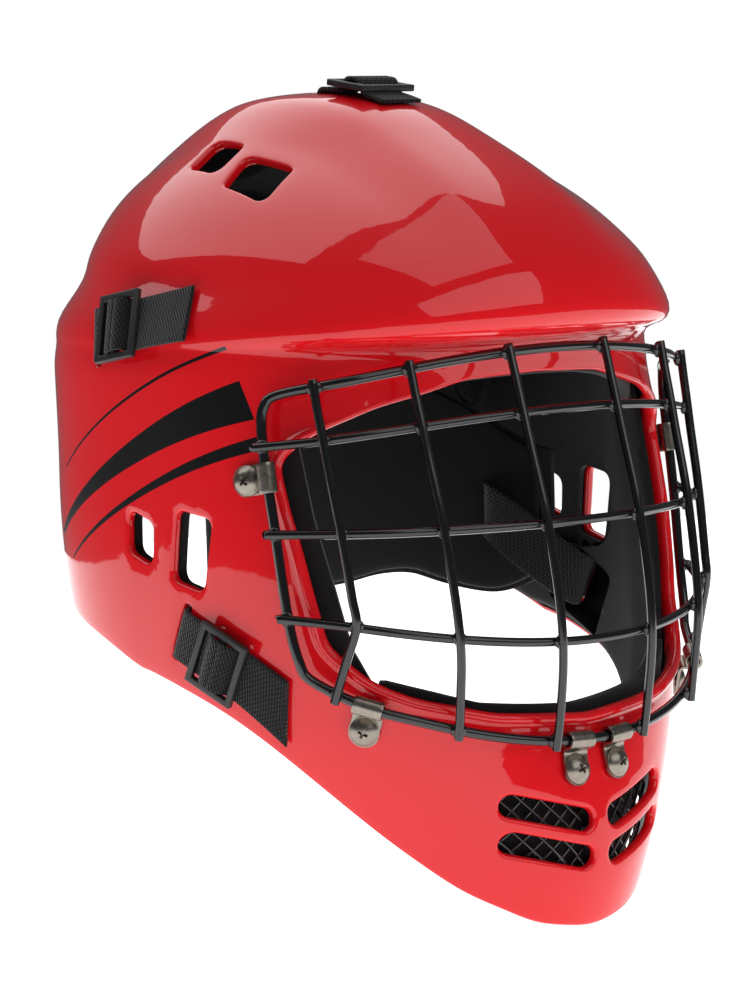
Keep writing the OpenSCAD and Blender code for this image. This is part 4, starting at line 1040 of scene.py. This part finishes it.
# Name, the screw's place, the direction out of the shell, the direction away from the wire, and the wire's height
# over the place and distance from it
CLIPS = [("temple", (100.612, -46.796, 172.638), (0.935322, -0.348142, 0.0630092), (0.353695, 0.924405, -0.142743),
          5.958, 10.4172),
         ("jaw", (78.929, -81.0193, 82.9217), (0.788323, -0.601733, -0.128311), (0.0740884, 0.29987, -0.951099),
          6.53399, 10.4795),
         ("chin", (10.0807, -117.016, 63.33), (0.0644082, -0.97551, 0.210315), (0.0620901, -0.206427, -0.97649),
          4.68558, 10.4707)]


def clip_path(rise, run):
    """Middle line of the strip from the tab's round end to the end of the loop, in its own plane."""
    r = CLIP_BORE / 2 + CLIP_T / 2
    low = SEAT_GAP + CLIP_T / 2
    bend = min(2.4, rise - low - 0.2)
    side = -run + r
    pts = [(TAB_R * math.sin(q), low) for q in np.linspace(math.radians(86), 0, 9)]
    pts += [(x, low) for x in np.linspace(-0.8, side + bend, 5)]
    pts += [(side + bend - bend * math.sin(q), low + bend - bend * math.cos(q))
            for q in np.linspace(0.3, math.pi / 2, 6)]
    pts += [(-run + r * math.cos(q), rise + r * math.sin(q)) for q in np.linspace(0, math.radians(322), 30)]
    return np.array(pts)


def clip_strip(name, rise, run):
    path = clip_path(rise, run)
    n = len(path) - 1

    def lay(u, v):
        x, z = path[int(round(u * n))]
        w = math.sqrt(max(TAB_R**2 - x * x, 0.15)) if x > 0 else TAB_R
        return x, (v * 2 - 1) * min(w, CLIP_W / 2), z

    o = laid_grid(name, n, 8, lay)
    apply_modifier(o, "SOLIDIFY", thickness=CLIP_T, offset=0)
    bevel(o, 0.22)
    return o


for name, spot, n, x, rise, run in CLIPS:
    strip = clip_strip("strip", rise, run)
    for side, m in HANDS:
        o = copy_of(strip, f"{name}_clip_strip_{side}")
        put(o, stand(spot, x, np.cross(n, x), n))
        if m < 0:
            mirrored(o)
        smooth(o)
        finish(o, nickel, "clip", "helmet", f"{name}_clip_{side}")
    bpy.data.objects.remove(strip)

# %% Domed screws
HEAD_D, HEAD_H, SHANK_D, SHANK_L = 11.4, 3.2, 5.0, 11.0
HEAD_SEAT = SEAT_GAP + CLIP_T + 0.05
CROSS_TURN = 0.35


def dome_screw():
    ball = (HEAD_H**2 + HEAD_D**2 / 4) / (2 * HEAD_H)
    rim = HEAD_D / 2
    turn = [math.asin((rim - 0.25) / ball) * k / 9 for k in range(10)]
    line = [(ball * math.sin(q), HEAD_SEAT + HEAD_H - ball + ball * math.cos(q)) for q in turn]
    line += [(rim, HEAD_SEAT + 0.45), (rim, HEAD_SEAT + 0.12), (rim - 0.2, HEAD_SEAT), (SHANK_D / 2, HEAD_SEAT),
             (SHANK_D / 2, HEAD_SEAT - SHANK_L + 0.6), (SHANK_D / 2 - 0.6, HEAD_SEAT - SHANK_L),
             (0, HEAD_SEAT - SHANK_L)]
    o = from_points("screw", [(x, 0, z) for x, z in line], [], [(k, k + 1) for k in range(len(line) - 1)])
    select_only(o)
    bpy.ops.object.mode_set(mode="EDIT")
    bpy.ops.mesh.select_all(action="SELECT")
    bpy.ops.mesh.spin(steps=56, angle=math.tau, center=(0, 0, 0), axis=(0, 0, 1))
    bpy.ops.object.mode_set(mode="OBJECT")
    outward(o, 0.002)
    for turn in (CROSS_TURN, CROSS_TURN + math.pi / 2):
        bpy.ops.mesh.primitive_cube_add(size=1, location=(0, 0, HEAD_SEAT + HEAD_H))
        blade = start("blade")
        for v in blade.data.vertices:
            x, y = (2.0, 0.7) if v.co.z < 0 else (6.4, 1.5)
            v.co = Vector((v.co.x * x, v.co.y * y, v.co.z * 4.2))
        blade.data.transform(Matrix.Rotation(turn, 4, "Z"))
        cut(o, blade)
    bevel(o, 0.1)
    return o


screw = dome_screw()
screws = []
for k, (name, spot, n, x, _, _) in enumerate(CLIPS):
    for side, m in HANDS:
        o = copy_of(screw, f"screw_{name}_{side}")
        o.data.transform(Matrix.Rotation(0.9 * k + (0 if m > 0 else 0.5), 4, "Z"))
        put(o, stand(spot, x, np.cross(n, x), n))
        screws.append(o if m > 0 else mirrored(o))
bpy.data.objects.remove(screw)
screws = join("dome_screws", screws)
smooth(screws, 30)
finish(screws, nickel, "screw", "helmet", "clip_screws")
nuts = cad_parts["clip_nuts"]
nuts.data.materials.clear()
nuts.data.materials.append(nickel)

# %% [markdown]
# ## Webbing
# Five runs of woven elastic leave the shell through slots, climb over the middle bar of a slider and end in a
# cut tail. Each is a flat grid laid along its run, thickened, with its edges broken. The slider slides along the
# webbing. Each tail is two pieces: one runs from the shell to the slider, the other from the slider back to the
# shell.

# %% Sliders
WEB_W, WEB_T, SLIDER_L, SLIDER_T, SLIDER_BAR = 20.0, 1.6, 22.0, 2.6, 2.6
WEB_SPARE = 0.8
WEB_LOW = 0.7 + WEB_T / 2
SLIDER_LOW = WEB_LOW + WEB_T / 2 + WEB_SPARE / 2
HUMP_H = SLIDER_T + WEB_T + WEB_SPARE
SLIDER_W = WEB_W + 2 * SLIDER_BAR + WEB_SPARE


def slider_body():
    """Frame with a middle bar: two windows are cut into a plate, and all its edges are rounded."""
    window = (SLIDER_L - 3 * SLIDER_BAR) / 2
    o = box("slider", Matrix.Identity(4), SLIDER_L, SLIDER_W, SLIDER_T)
    for way in (-1, 1):
        at = Matrix.Translation((way * (window + SLIDER_BAR) / 2, 0, 0))
        cut(o, box("window", at, window, WEB_W + WEB_SPARE, SLIDER_T * 2))
    bevel(o, 0.55, 3, 40)
    o.data.transform(Matrix.Translation((0, 0, SLIDER_LOW + SLIDER_T / 2)))
    return o


# Name, side, frame along the run, the slider's place and the tail's length past it
RUNS = [("top", "", top_frame, 19.0, 7.0)]
for name, run, seat in (("upper", UPPER_RUN, 19.0), ("lower", LOWER_RUN, 22.0)):
    RUNS += [(name, side, partial(side_frame, run), seat, 24.0) for side in ("_left", "_right")]
pattern = slider_body()
for name, side, at, seat, _ in RUNS:
    o = copy_of(pattern, f"{name}_slider_frame{side}")
    put(o, stand(*at(seat)))
    if side == "_right":
        mirrored(o)
    smooth(o)
    finish(o, nylon, "slider", f"{name}_slider{side}", f"{name}_slider{side}")
bpy.data.objects.remove(pattern)

# %% Tails of the webbing


def web_height(past):
    """Height of the webbing's middle over the skin, by the distance from the slider's middle bar."""
    flat = SLIDER_BAR / 2 + WEB_SPARE
    fall = SLIDER_L / 2 - SLIDER_BAR - flat - WEB_SPARE
    return WEB_LOW + HUMP_H * float(ease((flat + fall - abs(past)) / fall))


def web_strip(name, stations, flare=0.0):
    """Webbing laid through stations of (point, width direction), with its UV map in metres."""
    pts = np.array([p for p, _ in stations])
    s = np.concatenate([[0], np.cumsum(np.linalg.norm(np.diff(pts, axis=0), axis=1))])
    n = len(stations) - 1

    def lay(u, v):
        i = int(round(u * n))
        p, w = stations[i]
        return p + w * (v - 0.5) * (WEB_W + flare * (s[i] / s[-1]) ** 2)

    o = laid_grid(name, n, 10, lay)
    uv = o.data.uv_layers.active.data
    for loop in o.data.loops:
        u, v = uv[loop.index].uv
        uv[loop.index].uv = (v * WEB_W * MM, s[int(round(u * n))] * MM)
    o.data.uv_layers.active.name = "UVMap"
    apply_modifier(o, "SOLIDIFY", thickness=WEB_T, offset=0)
    bevel(o, 0.45)
    print(name, "is", round(float(s[-1]), 1), "mm long")
    return o


def tail_stations(at, seat, low, high, steps):
    out = []
    for s in np.linspace(low, high, steps):
        p, t, w, n = at(s)
        out.append((p + n * web_height(s - seat), w))
    return out


def turn_out(at):
    """Stations from the middle of the wall round the slot's edge."""
    p, t, w, n = at(0)
    out = [(p - n * WALL / 2, w), (p - n * WALL / 4, w)]
    for q in np.radians([10, 30, 50, 70, 90]):
        out.append((p + t * TURN_R * (1 - math.cos(q)) + n * (WEB_LOW - TURN_R + TURN_R * math.sin(q)), w))
    return out


def slant_end(o, at, end):
    """Cut the end at a slant, so the tail's upper corner is the shorter one."""
    p, t, w, _ = at(end - SLANT_LONG)
    up = w * np.sign(w[2])
    select_only(o)
    bpy.ops.object.mode_set(mode="EDIT")
    bpy.ops.mesh.select_all(action="SELECT")
    bpy.ops.mesh.bisect(plane_co=p + up * WEB_W / 2, plane_no=unit(t + SLANT * up), use_fill=True, clear_outer=True)
    bpy.ops.object.mode_set(mode="OBJECT")


def hang(o, side, node, bodies, ends):
    """Put webbing on its side and give it its finish, with no body."""
    put(o)
    if side == "_right":
        mirrored(o)
    outward(o)
    smooth(o)
    finish(o, webbing, "webbing", None, node)
    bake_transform(o)


TURN_R, SLANT_LONG, SLANT, FLARE = 2.4, 12.0, 0.55, 2.4
for name, side, at, seat, tail in RUNS:
    end = seat + SLIDER_L / 2 + tail
    slider, node = f"{name}_slider{side}", f"{name}_strap_tail{side}"
    o = web_strip(f"{name}_webbing_root{side}", turn_out(at) + tail_stations(at, seat, 3.4, seat, 26))
    hang(o, side, node, ("helmet", slider), (at(0)[0], at(seat)[0]))
    flare = 0.0 if name == "top" else FLARE
    o = web_strip(f"{name}_webbing_tail{side}", tail_stations(at, seat, seat, end, 36), flare)
    if name == "lower":
        slant_end(o, at, end)
    hang(o, side, node, (slider, "helmet"), (at(seat)[0], at(end)[0]))

# %% [markdown]
# ## Back plate and the webbing that holds it
# The back plate is a firm sheet bowed round the back of the head, with slots where the webbing is sewn in. The
# sheet starts as a flat grid, is bowed by its plan and cut edge, thickened, and its slots are cut. Inside, each
# webbing runs from its slot in the shell to the plate.

# %% Back plate
PLATE_HALF, PLATE_H, PLATE_T, PLATE_LOW, PLATE_FRONT, PLATE_BOW = 86.0, 92.0, 3.0, 111.0, -13.0, 50.0
PLATE_EDGE = [7, 8, 10, 9.5, 5, 1.5, 0, 2, 6, 10]


def plate_plan(a, inward):
    a = math.radians(a)
    return (PLATE_HALF - inward) * math.sin(a), PLATE_FRONT + (PLATE_BOW - inward) * math.cos(a)


def plate_out(a):
    a = math.radians(a)
    return unit([PLATE_BOW * math.sin(a), PLATE_HALF * math.cos(a), 0])


def plate_low(a):
    return PLATE_LOW + float(through(np.array(PLATE_EDGE)[:, None], 10)[int(round(abs(a)))][0])


def plate_high(a):
    return PLATE_LOW + PLATE_H - 34 * abs(math.sin(math.radians(a))) ** 3


def plate_lay(half, inset, depth):
    """Lay a grid on the bowed plate: its half span in degrees, inside the edge by an inset, in from the back."""
    def lay(u, v):
        a = half * (2 * u - 1)
        low, high = plate_low(a) + inset, plate_high(a) - inset
        return (*plate_plan(a, depth), high + (low - high) * v)
    return lay


def box_cutter(matrix, x, y, z, corner=0.7):
    c = box("cutter", Matrix.Identity(4), x, y, z)
    apply_modifier(c, "BEVEL", width=corner, segments=3)
    c.data.transform(matrix)
    return c


def cut_slots(o, slots, thick, corner=0.7):
    """Cut slots for webbing on both sides, square to the bowed plate."""
    for a, z in slots:
        n = plate_out(a)
        place = axes([*plate_plan(a, PLATE_T / 2), z], [n[1], -n[0], 0], [0, 0, 1], n)
        for _, m in HANDS:
            cutter = box_cutter(place, thick, WEB_W + SLOT_SPARE, THROUGH, corner)
            cut(o, cutter if m > 0 else mirrored(cutter))


PLATE_SLOTS = [(57, PLATE_LOW + 39), (52, PLATE_LOW + PLATE_H - 26)]
SLOT_SPARE, SLOT_WIDE, THROUGH = 12.0, WEB_T + 0.4, 30
plate = laid_grid("back_plate_sheet", 88, 24, plate_lay(88, 0, PLATE_T / 2))
apply_modifier(plate, "SOLIDIFY", thickness=PLATE_T, offset=0)
outward(plate)
cut_slots(plate, PLATE_SLOTS, SLOT_WIDE)
top_end = np.array([0, PLATE_FRONT + PLATE_BOW - 1, PLATE_LOW + PLATE_H - 12])
cut(plate, box_cutter(Matrix.Translation(top_end), WEB_W + SLOT_SPARE, THROUGH, SLOT_WIDE))
bevel(plate, 0.6, angle=60)
put(plate)
smooth(plate)
finish(plate, plate_sheet, "back_plate", "back_rest", "back_plate")

# %% Inner webbing
# Where each webbing ends in the plate, the way it leaves, its width direction there and how far it first runs ahead
DOWN = np.array([0, 0, -1.0])
INNER_ENDS = {"top": (top_end, np.array([0, 1.0, 0]), np.array([1.0, 0, 0]), 0),
              "upper": (np.array([*plate_plan(52, 1), PLATE_LOW + PLATE_H - 26]), plate_out(52), DOWN, 0),
              "lower": (np.array([*plate_plan(57, PLATE_T - 1), PLATE_LOW + 35]), -plate_out(57), DOWN, 24)}
for name, side, at, _, _ in RUNS:
    p, t, w, n = at(0)
    goal, out, wide, ahead = INNER_ENDS[name]
    first = p - n * WALL / 2
    lead = np.linalg.norm(goal - first) / 3
    a = first - n * (WALL / 2 + 2.5)
    b = goal + out * 8
    a1 = a + t * ahead - n * (8 if ahead else lead)
    b1 = b + out * lead
    path = [first]
    for q in np.linspace(0, 1, 37):
        u = 1 - q
        path.append(u * u * (u * a + 3 * q * a1) + q * q * (3 * u * b1 + q * b))
    path = np.array(path + [goal])
    laid = []
    for i, c in enumerate(path):
        tangent = unit(path[min(i + 1, len(path) - 1)] - path[max(i - 1, 0)])
        q = i / (len(path) - 1)
        w0 = (1 - q) * w + q * wide
        laid.append((c, unit(w0 - (w0 @ tangent) * tangent)))
    o = web_strip(f"{name}_inner_webbing{side}", laid)
    hang(o, side, f"{name}_strap{side}", ("helmet", "back_rest"), (p, goal))

# %% [markdown]
# ## Foam pads
# The pads are die-cut from closed-cell foam and moulded to the wall: thin at the edge, thicker in the middle. A
# flat grid is laid on the inside of the shell and thickened, with a weight at each point that makes the edge
# thin. A bevel rounds the rim.

# %% Pads on the wall
PAD_T, PAD_EDGE = 10.0, 5.0
PAD_DEPTH, PAD_BASE, WELL_DEEP, WELL_R = WALL + 1.3, 2.5, 10.5, 7.75


def swell(u, v):
    """Share of the full thickness: thin at the rim, and soon thick inside it."""
    return PAD_EDGE / PAD_T + (1 - PAD_EDGE / PAD_T) * max(math.sin(math.pi * u) * math.sin(math.pi * v), 0) ** 0.35


def under(angle, z, depth):
    v = row_at(z)
    return skin(angle, v) - depth * skin_normal(angle, v)


def pad_low(angle, z):
    return max(z, float(edge_height(angle)) + 1.5)


def thicken(o, inward):
    """Give a laid pad its thickness, weighted by its swell, towards the head."""
    o.data.update()
    aim = sum((Vector(inward(v.co)).dot(v.normal) for v in o.data.vertices))
    apply_modifier(o, "SOLIDIFY", thickness=PAD_T, offset=1 if aim > 0 else -1, vertex_group="swell",
                   use_even_offset=False)
    outward(o)
    return o


def to_head(p):
    """Level direction from a point to the middle of the head."""
    return -p.x, 10 - p.y, 0


def sink_wells(o, which):
    """Blind wells round the nuts of the clips, which end a little past the screw's tip."""
    for name, spot, n, x, _, _ in CLIPS:
        if name not in which:
            continue
        for _, m in HANDS if o.name.startswith("chin") else HANDS[:1]:
            bpy.ops.mesh.primitive_cylinder_add(vertices=40, radius=WELL_R, depth=60)
            well = start("well")
            well.data.transform(axes(spot, x, np.cross(n, x), n) @ Matrix.Translation((0, 0, 30 - WELL_DEEP)))
            if m < 0:
                mirrored(well)
            outward(well)
            cut(o, well, use_self=True)


def finish_pad(o, body, node):
    put(o)
    smooth(o, 50)
    finish(o, foam, "foam", body, node)


def table(rows, q):
    rows = np.array(rows, float)
    return float(np.interp(q, rows[:, 0], rows[:, 1]))


BROW_HALF, BROW_HIGH, BROW_FOLD, BROW_LOW, BROW_ARCH = 52, 247, 226, 206, 17


def brow_lay(u, v):
    """The brow pad bridges the hollow brow and reaches down to the opening's top edge."""
    a = BROW_HALF * (2 * u - 1)
    z = BROW_HIGH + (BROW_LOW - BROW_ARCH * (a / BROW_HALF) ** 2 - BROW_HIGH) * v
    q = float(np.clip((z - BROW_FOLD) / (BROW_HIGH - BROW_FOLD), 0, 1))
    p = (1 - q) * under(a, 212, PAD_DEPTH + 1) + q * under(a, BROW_HIGH + 5, PAD_DEPTH)
    return p[0], p[1], z


def rear_lay(u, v):
    return under(124 + 112 * u, 262 - 43 * v, PAD_DEPTH)


CHIN_HIGH = [[0, 86.5], [20, 90], [30, 94.5], [41, 99]]
CHIN_HALF, CHIN_LOW, MESH_ROOM, MESH_TOP = 42.5, 14, 3.3, 66


def chin_lay(u, v):
    """The chin pad leaves room for the mesh, and shows a little above the opening's bottom edge."""
    a = CHIN_HALF * (2 * u - 1)
    high = table(CHIN_HIGH, abs(a))
    z = high + (pad_low(a, CHIN_LOW) - high) * v
    return under(a, z, PAD_DEPTH + MESH_ROOM * float(ease((MESH_TOP - z) / 5)))


def crown_lay(u, v):
    a, r = over_place(-30 + 60 * u, -44 + 48 * v)
    return skin(a, r) - PAD_DEPTH * skin_normal(a, r)


for name, lay, size in (("brow", brow_lay, (56, 20)), ("rear", rear_lay, (48, 16)), ("chin", chin_lay, (56, 36)),
                        ("crown", crown_lay, (24, 20))):
    pad = laid_grid(name + "_foam_pad", *size, lay, swell)
    pad = thicken(pad, (lambda p: (0, 0, -1)) if name == "crown" else to_head)
    if name == "chin":
        sink_wells(pad, ("jaw", "chin"))
    bevel(pad, 1.6, 3)
    finish_pad(pad, "helmet", name + "_pad")

# %% Side pads with the ear window
SIDE_FRONT = [[62, 46], [90, 44.5], [99, 44], [111, 47], [133, 49], [160, 52], [187, 53.5], [204, 54.5]]
SIDE_FROM, SIDE_SPAN, SIDE_HIGH, SIDE_LOW = 50, 96, 204, 62


def side_swell(u, v):
    """The side pad is thinner along its front edge, where it shows inside the opening."""
    return swell(u, v) - 0.3 * float(ease(1 - u / 0.12))


def side_lay(u, v):
    a = SIDE_FROM + SIDE_SPAN * u
    z = SIDE_HIGH + (pad_low(a, SIDE_LOW) - SIDE_HIGH) * v
    return under(a + (table(SIDE_FRONT, z) - SIDE_FROM) * (1 - u), z, PAD_DEPTH)


def prism(name, rings):
    """Closed solid through rings of points, with a face on each end."""
    m = len(rings[0])
    faces = [tuple(range(m)), tuple(range(len(rings) * m - m, len(rings) * m))[::-1]]
    for k in range(len(rings) - 1):
        faces += [(k * m + i, k * m + (i + 1) % m, (k + 1) * m + (i + 1) % m, (k + 1) * m + i) for i in range(m)]
    o = from_points(name, np.vstack(rings), faces)
    outward(o)
    return o


side = thicken(laid_grid("side_foam_pad_left", 72, 56, side_lay, side_swell), to_head)
# The window is sunk in the thick layer only: the cutter's outer face follows the wall, a base's thickness inside it
window = rounded([(-42, 129), (36, 129), (36, 169), (-42, 169)], 20, 2.0)
WINDOW_MIDDLE = np.array([-3, 149])
rings = [[(60, y, z) for y, z in window]]
for share in (1.0, 0.75, 0.5, 0.25, 0.05):
    ring = WINDOW_MIDDLE + (window - WINDOW_MIDDLE) * share
    v = row_at(ring[:, 1])
    a = angle_at_y(ring[:, 0], v)
    rings.append(skin(a, v) - (PAD_DEPTH + PAD_BASE) * skin_normal(a, v))
cut(side, prism("window_cutter", rings))
for corners in SIDE_VENTS:
    outline = vent_outline(corners, 1.0)
    cut(side, prism("vent_cutter", [[(x, y, z) for y, z in outline] for x in (60, 130)]))
p, t, w, n = side_frame(LOWER_RUN, 0)
cut(side, box_cutter(axes(p, t, w, n) @ Matrix.Translation((9, 0, 0)), 34, WEB_W + 8, 60, 3))
sink_wells(side, ("temple", "jaw"))
bevel(side, 1.0, 3)
other = mirrored(copy_of(side, "side_foam_pad_right"))
finish_pad(side, "helmet", "side_pad_left")
finish_pad(other, "helmet", "side_pad_right")

# %% Liner of the back plate


def liner_swell(u, v):
    """The liner is 4 mm thick at its edge and 6 mm inside it."""
    return (4 + 2 * max(math.sin(math.pi * u) * math.sin(math.pi * v), 0) ** 0.4) / PAD_T


liner = thicken(laid_grid("back_plate_liner", 110, 32, plate_lay(82, 2.0, PLATE_T + 0.7), liner_swell), to_head)
cut_slots(liner, PLATE_SLOTS[:1], 5, 2.4)
bevel(liner, 1.2, 3)
finish_pad(liner, "back_rest", "back_pad")

# %% [markdown]
# ## Mesh behind the chin slots
# Each side has a piece of black wire mesh, bent with the chin, with wires crossing at a slant. Every wire is a
# short curve, and one piece is made of them.

# %% Chin mesh
MESH_WIRE, MESH_PITCH = 1.2, 8.0
MESH_X, MESH_Z = (3.0, 43.0), (26.0, 57.6)


def mesh_bar(name, p, q, depth):
    """Wire that follows the inside of the shell from one place of the front view to another."""
    points = []
    for share in np.linspace(0, 1, 9):
        x, z = np.add(p, np.subtract(q, p) * share)
        points.append(under(angle_at_x(x, row_at(z)), z, depth))
    return wire(name, points, MESH_WIRE, sides=2)


bars = []
x_low, z_low, z_high = MESH_X[0], *MESH_Z
w, h = MESH_X[1] - x_low, z_high - z_low
for s in np.arange(-h + MESH_PITCH, w - 2, MESH_PITCH):
    a, b = max(s, 0), min(s + h, w)
    bars.append(mesh_bar("bar", (x_low + a, z_low + a - s), (x_low + b, z_low + b - s), WALL + 1.8))
    bars.append(mesh_bar("bar", (x_low + a, z_high - a + s), (x_low + b, z_high - b + s), WALL + 2.4))
net = join("chin_wire_mesh_left", bars)
other = mirrored(copy_of(net, "chin_wire_mesh_right"))
finish(net, coating, "mesh", "helmet", "chin_mesh_left")
finish(other, coating, "mesh", "helmet", "chin_mesh_right")

# %% [markdown]
# ## Studio
# A pale seamless floor, a white surround and large soft panels, as for a catalogue picture. The panels are what
# a gloss shell shows most, so their size and place are chosen by where their reflections fall. The camera stands
# low at the front right of the wearer, with a long lens that keeps the shape true.

# %% Floor, panels and surround
bpy.ops.mesh.primitive_plane_add(size=2.2, location=(0, 0, cad_low[2] - 0.0005))
floor = start("studio_floor")
pale, t, s = new_finish("pale_studio_floor", Base_Color=colour("#f4f4f4"), Emission_Color=(1, 1, 1, 1),
                        Emission_Strength=1.0)
grain = add(t, "ShaderNodeTexNoise", {"Scale": 60.0})
drive(t, s, grain.outputs["Fac"], rough=(0.6, 0.8))
floor.data.materials.append(pale)
floor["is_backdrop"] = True

AIM = np.array([0.0, 0.0, 0.15])
YAW, PITCH, ROLL = (math.radians(d) for d in (41.1885, 5.4381, -1.5732))
FORWARD = np.array([math.sin(YAW) * math.cos(PITCH), math.cos(YAW) * math.cos(PITCH), -math.sin(PITCH)])
RIGHT = np.array([math.cos(YAW), -math.sin(YAW), 0])
UP = np.cross(RIGHT, FORWARD)


def panel(name, turn, climb, away, width, height, bright):
    """Soft panel facing the helmet: its turn from the camera to the right, its climb, and how bright it looks."""
    turn, climb = math.radians(turn), math.radians(climb)
    level = math.sin(turn) * RIGHT - math.cos(turn) * unit([FORWARD[0], FORWARD[1], 0])
    at = AIM + away * (math.cos(climb) * level + math.sin(climb) * np.array([0, 0, 1]))
    bpy.ops.object.light_add(type="AREA", location=at)
    light = start(name)
    light.data.shape = "RECTANGLE"
    light.data.size, light.data.size_y = width, height
    light.data.energy = bright * math.pi * width * height
    light.rotation_euler = Vector(AIM - at).to_track_quat("-Z", "Y").to_euler()
    return light


panel("rear_overhead_panel", -145, 58, 1.9, 3.0, 2.0, 1.5)
panel("front_right_panel", 44, 34, 2.0, 2.0, 1.1, 1.3)
panel("front_overhead_panel", 50, 74, 2.2, 1.5, 1.3, 1.0)
world = bpy.data.worlds.new("white_surround")
bpy.context.scene.world = world
world.use_nodes = True
t = world.node_tree
t.nodes.clear()
seen = add(t, "ShaderNodeLightPath").outputs["Is Camera Ray"]
grey = add(t, "ShaderNodeBackground", {"Color": (0.9, 0.93, 1.0, 1), "Strength": 0.12})
white = add(t, "ShaderNodeBackground", {"Color": (1, 1, 1, 1), "Strength": 1.0})
both = add(t, "ShaderNodeMixShader", {0: seen, 1: grey.outputs[0], 2: white.outputs[0]})
add(t, "ShaderNodeOutputWorld", {"Surface": both.outputs[0]})
bpy.context.scene.view_settings.view_transform = "Standard"

# %% Camera
turned_right = math.cos(ROLL) * RIGHT + math.sin(ROLL) * UP
turned_up = math.cos(ROLL) * UP - math.sin(ROLL) * RIGHT
eye = -1401.624 * FORWARD + 4.7734 * turned_right - 5.4766 * turned_up + np.array([0, 6.32, 157])
bpy.ops.object.camera_add(location=eye * MM)
camera = start("photo_camera")
camera.rotation_euler = Matrix(np.stack([turned_right, turned_up, -FORWARD], 1)).to_euler()
camera.data.sensor_fit = "VERTICAL"
camera.data.sensor_height, camera.data.lens = 36, 129.6
bpy.context.scene.camera = camera
print("camera at", np.round(eye, 1), "mm")

# %% Show how far the box grew
low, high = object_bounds()
grew = np.concatenate([np.subtract(cad_low, low), np.subtract(high, cad_high)])
print("box grew by", np.round(grew / MM, 1), "mm")
